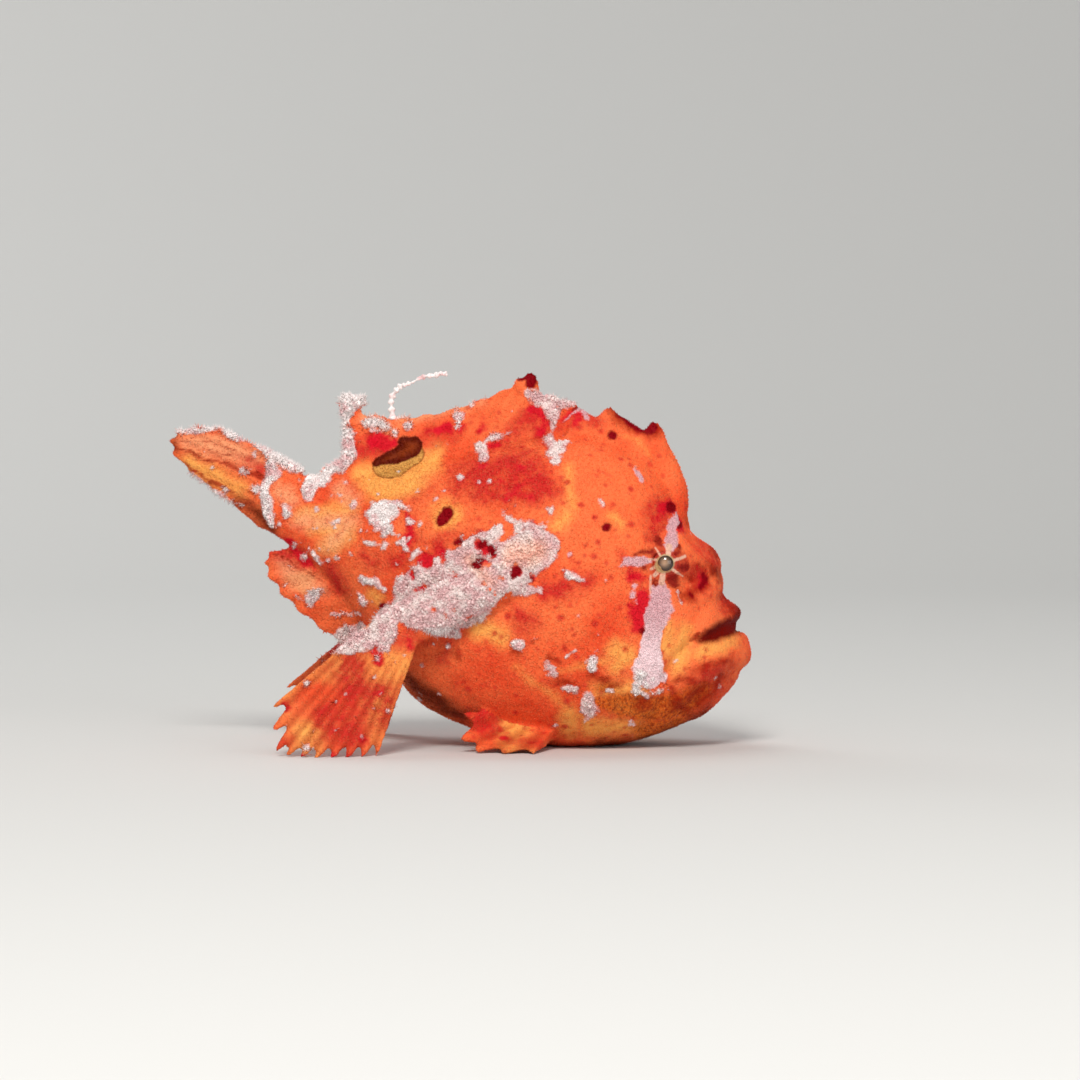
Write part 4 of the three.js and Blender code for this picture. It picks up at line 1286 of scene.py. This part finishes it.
class Nodes:
    """Adds and joins shader nodes in one tree, in few words."""

    def __init__(self, tree):
        self.tree = tree

    def add(self, kind, settings=None, **sockets):
        """A shader node of a kind, its settings set, and each named socket given a value or link."""
        node = self.tree.nodes.new("ShaderNode" + kind)
        for key, value in (settings or {}).items():
            setattr(node, key, value)
        for key, value in sockets.items():
            self.give(node, key, value)
        return node

    def give(self, node, key, value):
        """Links or sets the input that a key names; a number in the key counts sockets."""
        name = int(key[1:]) if key[0] == "_" else key.replace("_", " ")
        socket = node.inputs[name]
        if isinstance(value, bpy.types.NodeSocket):
            self.tree.links.new(value, socket)
        else:
            socket.default_value = value

    def value(self, name):
        """The number stored on the mesh under a name."""
        return self.add("Attribute", {"attribute_name": name}).outputs["Fac"]

    def maths(self, operation, a, b=0.0, c=0.0):
        """One step of arithmetic."""
        return self.add("Math", {"operation": operation}, _0=a, _1=b, _2=c).outputs[0]

    def ramp(self, x, low, high, to_low=0.0, to_high=1.0):
        """x from low..high eased into to_low..to_high."""
        node = self.add("MapRange", {"interpolation_type": "SMOOTHSTEP"},
                        Value=x, From_Min=low, From_Max=high, To_Min=to_low, To_Max=to_high)
        return node.outputs[0]

    def over(self, below, above, share):
        """One colour over another by a share."""
        node = self.add("Mix", {"data_type": "RGBA"}, _0=share, _6=below, _7=above)
        return node.outputs[2]

    def noise(self, where, scale, detail=3.0, roughness=0.55):
        """Noise from 0 to 1."""
        node = self.add("TexNoise", None, Vector=where, Scale=scale, Detail=detail,
                        Roughness=roughness)
        return node.outputs["Fac"]


def skin_colours():
    """The node group that skin and coat share: colour, roughness and height of the live skin, from
    the markings stored on the mesh and from noise of several sizes."""
    tree = bpy.data.node_groups.new("skin colours", "ShaderNodeTree")
    for name, kind in (("Colour", "Color"), ("Roughness", "Float"), ("Height", "Float")):
        tree.interface.new_socket(name=name, in_out="OUTPUT", socket_type="NodeSocket" + kind)
    n = Nodes(tree)
    where = n.add("TexCoord").outputs["Object"]
    broad = n.noise(where, 70, 3)
    fine = n.noise(where, 420, 4, 0.6)
    grain = n.noise(where, 1500, 3, 0.65)
    ragged = n.maths("MULTIPLY_ADD", fine, 1.5, -0.75)
    ragged = n.maths("MULTIPLY_ADD", grain, 0.8, n.maths("SUBTRACT", ragged, 0.4))

    shade = ORANGE

    def mark(name, low, high, wild=1.0):
        """A stored depth plus ragged noise times wild, eased from low..high into 0..1."""
        depth = n.maths("MULTIPLY_ADD", ragged, wild, n.value(name))
        return n.ramp(depth, low, high)

    def lay(above, share, strength=1.0):
        """Lays a colour over the shade so far, by a share times a strength."""
        nonlocal shade
        shade = n.over(shade, above, n.maths("MULTIPLY", share, strength))

    def dots(scale, outer, inner):
        """Round dots: 1 near the middles of scattered cells, within the inner distance, 0 past the
        outer one."""
        cells = n.add("TexVoronoi", {"feature": "F1"}, Vector=where, Scale=scale, Randomness=1.0)
        return n.ramp(cells.outputs["Distance"], outer, inner)

    lay(DEEP_ORANGE, n.ramp(broad, 0.40, 0.68))
    # Gold: the skin's own gold patches, and painted highlight on the hump.
    lay(GOLD, mark("gold", -2.3, 1.1), 0.92)
    lay(PEACH, mark("peach", -2.0, 1.2), 0.85)
    mottle = n.ramp(fine, 0.34, 0.58, 0.55, 1.0)
    lay(RED, n.maths("MULTIPLY", mark("red", -2.0, 1.6), mottle), 0.9)
    lay(RED, n.ramp(fine, 0.56, 0.72), 0.35)
    x = n.add("SeparateXYZ", None, Vector=where).outputs["X"]
    forward = n.ramp(x, -0.008, 0.004, 0.2, 1.0)
    lay(RED, n.maths("MULTIPLY", dots(270.0, 0.26, 0.06), forward), 0.75)
    lay(RED, n.maths("MULTIPLY", dots(430.0, 0.30, 0.04), forward), 0.55)
    upright = n.add("VectorMath", {"operation": "MULTIPLY"}, _0=where, _1=(1.0, 1.0, 0.3))
    strands = n.ramp(n.noise(upright.outputs[0], 2100, 3, 0.7), 0.42, 0.62)
    lay(n.over(AMBER, AMBER_DARK, strands), mark("amber", -1.0, 1.0, 1.4), 0.85)
    pebbles = dots(2100.0, 0.50, 0.15)
    lay(GRANULE, pebbles, 0.08)
    lay(DARK_RED, n.ramp(grain, 0.44, 0.30), 0.18)
    # Dark red: the skin's own mottles, and painted shade under the chin and crust lumps, on the upper lip's
    # front and in the cheek's fold.
    lay(DARK_RED, mark("dark_red_and_shade", -1.1, 0.9, 1.6), 0.85)
    # Painted shade: dark brown where shade falls under the tail stalk, chin and belly, behind the arm and
    # on the upper lip's front.
    lay(SHADE_BROWN, mark("shade", -1.6, 1.3), 0.85)
    lay(CRIMSON, mark("crimson", -0.6, 0.6, 1.4), 0.95)
    lay(STREAK_RED, n.value("web"), 0.6)
    lay(STREAK_RED, mark("streak", -0.2, 0.25, 0.3), 0.85)
    lay(MAROON, mark("maroon", -0.3, 0.25, 0.6))
    rim = n.over(OCELLUS_EDGE, OCELLUS_TAN, mark("ocellus", 0.0, 0.5, 0.4))
    rim = n.over(rim, GOLD, n.maths("MULTIPLY", dots(1900.0, 0.35, 0.2), 0.5))
    rim = n.over(rim, OCELLUS_EDGE, n.maths("MULTIPLY", dots(2500.0, 0.45, 0.2), 0.6))
    lay(rim, mark("ocellus", -0.2, 0.15, 0.3), 0.95)
    core = n.over(OCELLUS_DARK, OCELLUS_BROWN, mark("ocellus_core", 0.2, 1.8, 1.2))
    lay(core, mark("ocellus_core", -0.25, 0.15, 0.4))
    lay(IRIS_RED, mark("eye_red", -0.8, 0.9), 0.8)
    lay(EYE_PATCH, mark("eye_dark", -0.45, 0.35, 0.8), 0.9)
    # Painted shade in the mouth's slot and under the upper lip.
    lay(MOUTH_SHADE, mark("slot", -1.0, 0.4, 0.8))
    stripe = n.over(STRIPE_PINK, STRIPE_PALE, n.ramp(n.value("low"), 0.0, 1.0))
    lay(stripe, mark("pink", -0.25, 0.25, 1.0), 0.96)
    lay(SPOKE_CREAM, mark("spoke", -0.15, 0.15, 0.25), 0.9)
    grey = n.over(CRUST_PINK, CRUST_PALE, n.ramp(fine, 0.42, 0.60))
    grey = n.over(grey, CRUST_BROWN, n.ramp(grain, 0.38, 0.28))
    grey = n.over(grey, PEACH, n.maths("MULTIPLY", mark("peach", -1.5, 1.2), 0.45))
    white = n.over(CHALK, CHALK_PINK, n.ramp(fine, 0.50, 0.66))
    crust = mark("crust", -0.25, 0.35, 1.3)
    chalk = mark("chalk", -0.25, 0.3, 1.1)
    shade = n.over(shade, grey, crust)
    shade = n.over(shade, white, chalk)
    crust = n.maths("MAXIMUM", crust, chalk)
    height = n.maths("MULTIPLY_ADD", grain, 0.5, n.maths("MULTIPLY", fine, 0.6))
    height = n.maths("MULTIPLY_ADD", pebbles, 0.35, height)
    height = n.maths("MULTIPLY_ADD", crust, n.maths("MULTIPLY", grain, 1.2), height)
    rough = n.maths("MULTIPLY_ADD", crust, 0.3, n.maths("MULTIPLY_ADD", fine, 0.2, 0.42))
    out = tree.nodes.new("NodeGroupOutput")
    for name, value in (("Colour", shade), ("Roughness", rough), ("Height", height)):
        tree.links.new(value, out.inputs[name])
    return tree


SKIN_COLOURS = skin_colours()


def new_material(name, **values):
    """A material, a helper for adding nodes to it, and its shader with these inputs' values set."""
    material = bpy.data.materials.new(name)
    material.use_nodes = True
    nodes = Nodes(material.node_tree)
    shader = material.node_tree.nodes["Principled BSDF"]
    for key, value in values.items():
        nodes.give(shader, key, value)
    return material, nodes, shader


def skin_material():
    """Damp living skin: the shared colours, fine bumps and a soft sheen."""
    material, n, shader = new_material("frogfish skin", Specular_IOR_Level=0.06)
    group = n.add("Group", {"node_tree": SKIN_COLOURS})
    bumps = n.add("Bump", None, Strength=0.8, Distance=0.0004, Height=group.outputs["Height"])
    n.give(shader, "Base Color", group.outputs["Colour"])
    n.give(shader, "Roughness", group.outputs["Roughness"])
    n.give(shader, "Normal", bumps.outputs["Normal"])
    return material


skin.data.materials.append(skin_material())


# The eyes.

PUPIL_RADIUS = 1.33
PUPIL_NOTCH = np.radians(216)
BALL_SUNK = 0.12
DOME_RISE = 0.40
DOME_RADIUS = 1.43


def eye_ball(side):
    """One eye: a ball about its outward axis, its rings closer near the axis, with a dome over the
    pupil that rises as half an ellipse. Stored with it: how deep inside the pupil each point lies,
    which has a notch low behind, the same for the iris ring, the spokes and the dark patches, and the
    pupil's painted lens light, a soft hill about its middle."""
    centre, radius = EYES[side]
    axis = eye_axis(side)
    front = unit(AHEAD - axis * axis[0])
    up = np.cross(axis, front) * -side
    turn, angle = grid(np.linspace(0.0, 1.0, 150)[1:-1] ** 1.5, round_angles(180))
    polar = np.pi * turn
    away = radius * np.sin(polar)
    dome = DOME_RISE * np.sqrt(np.maximum(0, 1 - (away / DOME_RADIUS) ** 2)) * (polar < 1.5)
    shape = radius - BALL_SUNK + dome
    flat = front * np.cos(angle)[..., None] + up * np.sin(angle)[..., None]
    rings = centre + shape[..., None] * (axis * np.cos(polar)[..., None] + flat * np.sin(polar)[..., None])
    points, faces = tube(rings)
    mesh = make_mesh("eye", points, faces)
    out = points - centre
    across, high = out @ front, out @ up
    reach = np.hypot(across, high)
    turned = np.angle(np.exp(1j * (np.arctan2(high, across) - PUPIL_NOTCH)))
    edge = PUPIL_RADIUS - 0.3 * bump(turned, 0.38)
    behind = (out @ axis) < 0
    spokes, darks, _ = eye_marks(points)
    for name, values in (
            ("pupil", np.where(behind, -2.0, edge - reach)),
            ("lens_light", np.exp(-((across + 0.15) ** 2 + (high - 0.1) ** 2) / 0.55)),
            ("ring", np.where(behind, -2.0, 1.5 + 0.5 * bump(turned, 0.7) - reach)),
            ("spoke", spokes), ("eye_dark", darks)):
        put_value(mesh, name, values)
    return mesh


def eye_material():
    """Glassy eye: red-brown iris with cream spokes and ring, and a dark rimmed pupil with painted light
    in its lens, lighter brown in its middle, under a clear coat."""
    material, n, shader = new_material("frogfish eye", Specular_IOR_Level=0.3, Coat_Roughness=0.06)
    where = n.add("TexCoord").outputs["Object"]
    fine = n.noise(where, 2600, 3)
    rough_edge = n.maths("MULTIPLY_ADD", fine, 0.3, -0.15)
    shade = n.over(IRIS_RED, STREAK_RED, n.ramp(fine, 0.4, 0.7))
    for name, tone, low, high, strength in (
            ("eye_dark", EYE_PATCH, -0.2, 0.3, 0.8),
            ("spoke", SPOKE_CREAM, -0.12, 0.15, 0.95),
            ("ring", IRIS_CREAM, -0.25, 0.25, 1.0)):
        share = n.ramp(n.maths("ADD", n.value(name), rough_edge), low, high)
        shade = n.over(shade, tone, n.maths("MULTIPLY", share, strength))
    pupil = n.ramp(n.value("pupil"), -0.03, 0.05)
    # Painted light in the lens: the pupil lighter brown about its middle and dark at its rim.
    depth = n.over(PUPIL_DARK, PUPIL_LENS_LIGHT, n.value("lens_light"))
    shade = n.over(shade, depth, pupil)
    n.give(shader, "Base Color", shade)
    bumps = n.add("Bump", None, Strength=n.ramp(pupil, 0.0, 1.0, 0.7, 0.0), Distance=0.0002,
                  Height=fine)
    n.give(shader, "Normal", bumps.outputs["Normal"])
    n.give(shader, "Roughness", n.ramp(n.value("pupil"), -0.3, 0.1, 0.55, 0.06))
    n.give(shader, "Coat Weight", n.ramp(n.value("pupil"), -0.45, -0.1, 0.0, 0.8))
    return material


EYE_FINISH = eye_material()
for side in (1, -1):
    name = sided("eye", side)
    ball = add_object(name + "_ball", eye_ball(side))
    ball.data.materials.append(EYE_FINISH)
    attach(ball, "root")
    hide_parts(name)


# The coat: prickles, grains and fluff, rooted in the finished skin.

skin_points = points_of(skin_mesh)
skin_normals = normals_of(skin_mesh)
skin_places = Places(skin_points)
skin_flat = skin_places.unwrap()
skin_mesh.calc_loop_triangles()
corners = read(skin_mesh.loop_triangles, "vertices", 3, np.int32)
a, b, c = (skin_points[corners[:, k]] for k in range(3))
triangle_areas = np.linalg.norm(np.cross(b - a, c - a), axis=1) / 2
TUFT_PATCH = 0.003


class Roots:
    """Places on the skin where the coat is rooted, picked by area and by a weight on each skin point;
    each place is a random mean of a triangle's three corners."""

    def __init__(self, count, weight):
        share = triangle_areas * weight[corners].mean(axis=1)
        picked = chance.choice(len(corners), count, p=share / share.sum())
        r1, r2 = np.sqrt(chance.random(count)), chance.random(count)
        self.shares = np.stack([1 - r1, r1 * (1 - r2), r1 * r2], axis=-1)
        self.corners = corners[picked]
        self.at = self.mean(skin_points)
        self.normal = unit(self.mean(skin_normals))
        lie = self.mean(skin_places.lie)
        self.lie = unit(lie - self.normal * (lie * self.normal).sum(-1, keepdims=True))
        self.flat = skin_flat[self.corners[:, 0]]

    def mean(self, values):
        """A value of the skin's points at each root."""
        wide = values[self.corners]
        shares = self.shares if wide.ndim == 2 else self.shares[..., None]
        return (wide * shares).sum(axis=1)


def coat_piece(name, points, faces, roots, pattern, key, values):
    """One piece of coat from equal tufts: points (tufts, n, 3) and the faces of one tuft, with a number
    for each point under a key. The skin's marks are carried to every tuft, and the map for baking gives
    each tuft its own small patch at its root's place on the skin's unwrap, laid out by the pattern."""
    count, size = points.shape[:2]
    every_face = (np.array(faces) + (np.arange(count) * size)[:, None, None]).reshape(-1, 3)
    mesh = make_mesh(name, points.reshape(-1, 3), every_face.tolist())
    for mark, depth in marks.items():
        put_value(mesh, mark, np.repeat(roots.mean(depth), size))
    put_value(mesh, key, values.ravel())
    layer = mesh.uv_layers.new(name="OFBake")
    where = (roots.flat[:, None] + (pattern - 0.5) * TUFT_PATCH).reshape(-1, 2)
    layer.data.foreach_set("uv", where[every_face.ravel()].astype(np.float32).ravel())
    thing = add_object(name, mesh)
    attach(thing, "root")
    return thing


def square_to(direction):
    """Two directions square to each given one and to each other."""
    first = unit(np.cross(direction, np.where(np.abs(direction[..., 2:3]) < 0.9, UP, AHEAD)))
    return first, np.cross(direction, first)


CONE_FACES = [(0, 1, 3), (1, 2, 3), (2, 0, 3), (2, 1, 0)]
CONE_PATTERN = np.array([(0.0, 0.0), (1.0, 0.0), (0.5, 1.0), (0.5, 0.4)])


def prickles(name, count, weight, tall, leaning=(0.6, 1.25), wild=0.3, stout=0.3):
    """Skin prickles: three sided cones, their foot sunk in the skin, leaning along the lie of the
    coat. Each is root + height (normal cos lean + lie sin lean), a little scattered."""
    roots = Roots(count, weight)
    height = roots.mean(tall) * chance.uniform(0.6, 1.3, count)
    lean = chance.uniform(*leaning, count)[:, None]
    stray = chance.normal(0.0, wild, (count, 3))
    axis = unit(roots.normal * np.cos(lean) + roots.lie * np.sin(lean) + stray)
    one, two = square_to(roots.normal)
    turn = chance.uniform(0, 2 * np.pi, count)[:, None] + np.arange(3) * 2 * np.pi / 3
    foot = roots.at - roots.normal * 0.06
    ring = foot[:, None] + (stout * height)[:, None, None] * (
        one[:, None] * np.cos(turn)[..., None] + two[:, None] * np.sin(turn)[..., None])
    tip = roots.at + axis * height[:, None]
    points = np.concatenate([ring, tip[:, None]], axis=1)
    points[..., 2] = np.maximum(points[..., 2], 0.0)
    tips = np.tile([0.0, 0.0, 0.0, 1.0], (count, 1))
    return coat_piece(name, points, CONE_FACES, roots, CONE_PATTERN, "tip", tips)


# A bead's twenty faces and a grain's eight, with their corners on a ball of radius 1.
GOLDEN = (1 + np.sqrt(5)) / 2
BEAD_POINTS = unit(np.array([
    (-1, GOLDEN, 0), (1, GOLDEN, 0), (-1, -GOLDEN, 0), (1, -GOLDEN, 0), (0, -1, GOLDEN), (0, 1, GOLDEN),
    (0, -1, -GOLDEN), (0, 1, -GOLDEN), (GOLDEN, 0, -1), (GOLDEN, 0, 1), (-GOLDEN, 0, -1), (-GOLDEN, 0, 1),
]))
BEAD_FACES = [
    (0, 11, 5), (0, 5, 1), (0, 1, 7), (0, 7, 10), (0, 10, 11), (1, 5, 9), (5, 11, 4), (11, 10, 2),
    (10, 7, 6), (7, 1, 8), (3, 9, 4), (3, 4, 2), (3, 2, 6), (3, 6, 8), (3, 8, 9), (4, 9, 5),
    (2, 4, 11), (6, 2, 10), (8, 6, 7), (9, 8, 1),
]
GRAIN_POINTS = np.array([(1, 0, 0), (0, 1, 0), (-1, 0, 0), (0, -1, 0), (0, 0, 1), (0, 0, -1)], float)
GRAIN_FACES = [(0, 1, 4), (1, 2, 4), (2, 3, 4), (3, 0, 4), (1, 0, 5), (2, 1, 5), (3, 2, 5), (0, 3, 5)]
BEAD = (BEAD_POINTS, BEAD_FACES)
GRAIN = (GRAIN_POINTS, GRAIN_FACES)


def grains(name, count, weight, small, large, shape, shape_faces):
    """Crust: small faceted grains of uneven radius, half sunk in the skin, each squeezed at random
    along its three directions; the shape is a set of points on a ball and its faces."""
    roots = Roots(count, weight)
    radius = small + (large - small) * chance.random(count) ** 2
    squeeze = chance.uniform(0.65, 1.3, (count, 3))
    one, two = square_to(unit(roots.normal + chance.normal(0, 0.4, (count, 3))))
    basis = np.stack([one, two, np.cross(one, two)], axis=1) * squeeze[..., None]
    rough = 1 + chance.uniform(-0.3, 0.3, (count, len(shape), 1))
    points = (roots.at + roots.normal * (radius * 0.4)[:, None])[:, None] + radius[:, None, None] * (
        (shape[None] * rough) @ basis)
    points[..., 2] = np.maximum(points[..., 2], 0.0)
    grain = np.repeat(chance.random(count), len(shape))
    return coat_piece(name, points, shape_faces, roots, 0.5 + 0.5 * shape[:, :2], "grain", grain)


HEAD_SHARE = smooth(54, 60, skin_places.s)
FACE_SHARE = smooth(62, 66, skin_places.s)
feet = np.isin(skin_places.part, FOOT_PARTS)
on_body = skin_places.part == 0
off_floor = smooth(0.1, 0.5, skin_points[:, 2])
eye_clear = np.ones(len(skin_points))
for centre, _ in EYES.values():
    from_eye = np.hypot(*(skin_points - centre)[:, [0, 2]].T)
    eye_clear *= smooth(LID_OPENING + 0.3, LID_OPENING + 1.6, from_eye)
crusted = np.maximum(marks["crust"], marks["chalk"])
bare = off_floor * eye_clear * smooth(0.7, 0.1, crusted) * smooth(0.3, -0.3, marks["slot"])
tall = 0.30 - 0.08 * FACE_SHARE - 0.06 * feet
REAR_SHARE = smooth(30, 38, skin_places.s)
PRICKLES = 46000
PRICKLE_PIECES = {
    "prickles_head": on_body * HEAD_SHARE,
    "prickles_front": on_body * (1 - HEAD_SHARE) * REAR_SHARE,
    "prickles_rear": on_body * (1 - REAR_SHARE),
    "prickles_fins": ~on_body,
}


def coat_material(name, key, low, high):
    """The coat's material: the shared colours, made darker or lighter by the number under the key."""
    material, n, shader = new_material(name, Specular_IOR_Level=0.04)
    group = n.add("Group", {"node_tree": SKIN_COLOURS})
    level = n.ramp(n.value(key), 0.0, 1.0, low, high)
    tinted = n.add("HueSaturation", None, Color=group.outputs["Colour"], Value=level)
    n.give(shader, "Base Color", tinted.outputs["Color"])
    n.give(shader, "Roughness", group.outputs["Roughness"])
    return material


PRICKLE_FINISH = coat_material("frogfish prickles", "tip", 0.97, 1.26)
GRAIN_FINISH = coat_material("frogfish crust", "grain", 0.86, 1.1)
FLUFF_FINISH = coat_material("frogfish fluff", "tip", 0.9, 1.08)
for name, where in PRICKLE_PIECES.items():
    prickles(name, PRICKLES, bare * where, tall).data.materials.append(PRICKLE_FINISH)
crust_share = smooth(-0.15, 0.4, crusted) * off_floor * eye_clear
chalk_share = smooth(-0.15, 0.3, marks["chalk"]) * off_floor * eye_clear
bead_share = crust_share * smooth(0.1, 0.9, crusted)
stripe_share = smooth(-0.1, 0.3, marks["pink"]) * (1 - crust_share) * eye_clear
for name, count, weight, small, large, shape in (
        ("crust_grains", 24000, crust_share, 0.07, 0.21, GRAIN),
        ("crust_beads", 6500, bead_share, 0.14, 0.34, BEAD),
        ("chalk_grains", 13000, chalk_share, 0.07, 0.25, GRAIN),
        ("stripe_grains", 5000, stripe_share, 0.07, 0.20, GRAIN)):
    grains(name, count, weight, small, large, *shape).data.materials.append(GRAIN_FINISH)
fringe = 0.45 + 0.45 * smooth(0.0, 0.6, skin_places.gap)
fluff_share = (chalk_share + 0.25 * crust_share) * (1 - 0.9 * FACE_SHARE)
fluff = prickles("fluff", 30000, fluff_share, fringe, (0.0, 1.0), 0.7, 0.09)
fluff.data.materials.append(FLUFF_FINISH)


# The beaded thread that trails from the soft dorsal fin's edge.

THREAD = row((11.2, 19.6), (10.5, 21.4), (10.0, 22.9), (10.4, 24.5), (11.0, 25.5), (11.9, 26.1),
             (12.8, 26.7), (13.8, 27.7), (15.0, 28.4), (16.5, 29.0), (17.4, 29.6), (18.2, 29.3))


def thread_surface():
    """A closed tube along the thread's curve. Its radius swells and narrows in beads: a mean that is
    least a little past half way, times one plus waves of three lengths along and round it."""
    u, angle = grid(np.linspace(0, 1, 420), round_angles(20))
    middle = curve(THREAD, u)
    side = np.broadcast_to(ACROSS, middle.shape)
    flat = np.cross(heading(THREAD, u, 0.003), side)
    mean = 0.44 - 0.26 * bump(u - 0.56, 0.08) - 0.1 * u
    wave = 1 + 0.35 * np.sin(95 * u) + 0.2 * np.sin(41 * u + 2 * angle)
    around = side * np.sin(angle)[..., None] + flat * np.cos(angle)[..., None]
    rings = middle + around * (mean * wave * np.sqrt(np.clip((1 - u) * 40, 0, 1)))[..., None]
    rings += 0.12 * around * lattice(rings, 0.5, 31)[..., None]
    return tube(rings)


thread_mesh = make_mesh("thread", *thread_surface())
thread_points = points_of(thread_mesh)
for name in marks:
    level = {"chalk": 2.0, "low": 0.0, "web": 0.0}.get(name, -4.0)
    put_value(thread_mesh, name, np.full(len(thread_points), level))
put_value(thread_mesh, "grain", 0.5 + 0.5 * lattice(thread_points, 0.3, 33))
thread = add_object("thread", thread_mesh)
thread.data.materials.append(GRAIN_FINISH)
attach(thread, "root")


# Floor, light and camera.


def backdrop():
    """The floor and the wall behind it as one sheet: flat to 0.5 m behind the fish, a quarter round
    of 0.5 m radius, and a wall; the line across is carried along x."""
    turn = np.linspace(0, np.pi / 2, 24)
    bend = np.stack([500 + 500 * np.sin(turn), 500 - 500 * np.cos(turn)], -1)
    line = np.array([(-1400.0, 0.0), *bend, (1000.0, 1800.0)])
    across = np.linspace(-1500.0, 1500.0, 5)
    points = np.array([(x, y, z - 0.02) for y, z in line for x in across])
    wide = len(across)
    quads = [[i * wide + j, i * wide + j + 1, (i + 1) * wide + j + 1, (i + 1) * wide + j]
             for i in range(len(line) - 1) for j in range(wide - 1)]
    return make_mesh("floor", points, quads)


floor = add_object("floor", backdrop())
pale = colour(218, 218, 216)
floor_finish = new_material("pale floor", Base_Color=pale, Roughness=0.85, Specular_IOR_Level=0.2)[0]
floor.data.materials.append(floor_finish)

SENSOR = 36.0
camera_data = bpy.data.cameras.new("camera")
camera_data.sensor_width = SENSOR
camera_data.lens = SENSOR * DISTANCE / FRAME_WIDTH
camera_data.clip_start = 0.05
camera_data.clip_end = 20.0
camera = add_object("camera", camera_data)
back = Vector((0.0, -np.cos(ELEVATION), np.sin(ELEVATION)))
camera.location = AIM + back * DISTANCE
camera.rotation_euler = back.to_track_quat("Z", "Y").to_euler()
bpy.context.scene.camera = camera


def lamp(name, place, size, power, tint=(1.0, 1.0, 1.0)):
    """A square soft lamp aimed at the fish."""
    data = bpy.data.lights.new(name, "AREA")
    data.energy = power
    data.size = size
    data.color = tint
    thing = add_object(name, data)
    thing.location = place
    thing.rotation_euler = (Vector(place) - AIM).to_track_quat("Z", "Y").to_euler()


lamp("key lamp", (-0.07, -0.73, 0.70), 0.30, 6.65, (1.0, 0.97, 0.93))
lamp("fill lamp", (0.55, -0.8, 0.18), 0.6, 2.3, (0.97, 0.98, 1.0))
lamp("top lamp", (-0.2, 0.35, 0.9), 0.5, 2.0)
lamp("back lamp", (-0.6, 0.75, 0.45), 0.5, 1.6)
world = bpy.data.worlds.new("studio")
bpy.context.scene.world = world
world.use_nodes = True
sky = world.node_tree.nodes["Background"]
sky.inputs["Color"].default_value = (1.0, 1.0, 1.0, 1.0)
sky.inputs["Strength"].default_value = 0.28
bpy.context.scene.view_settings.view_transform = "Standard"
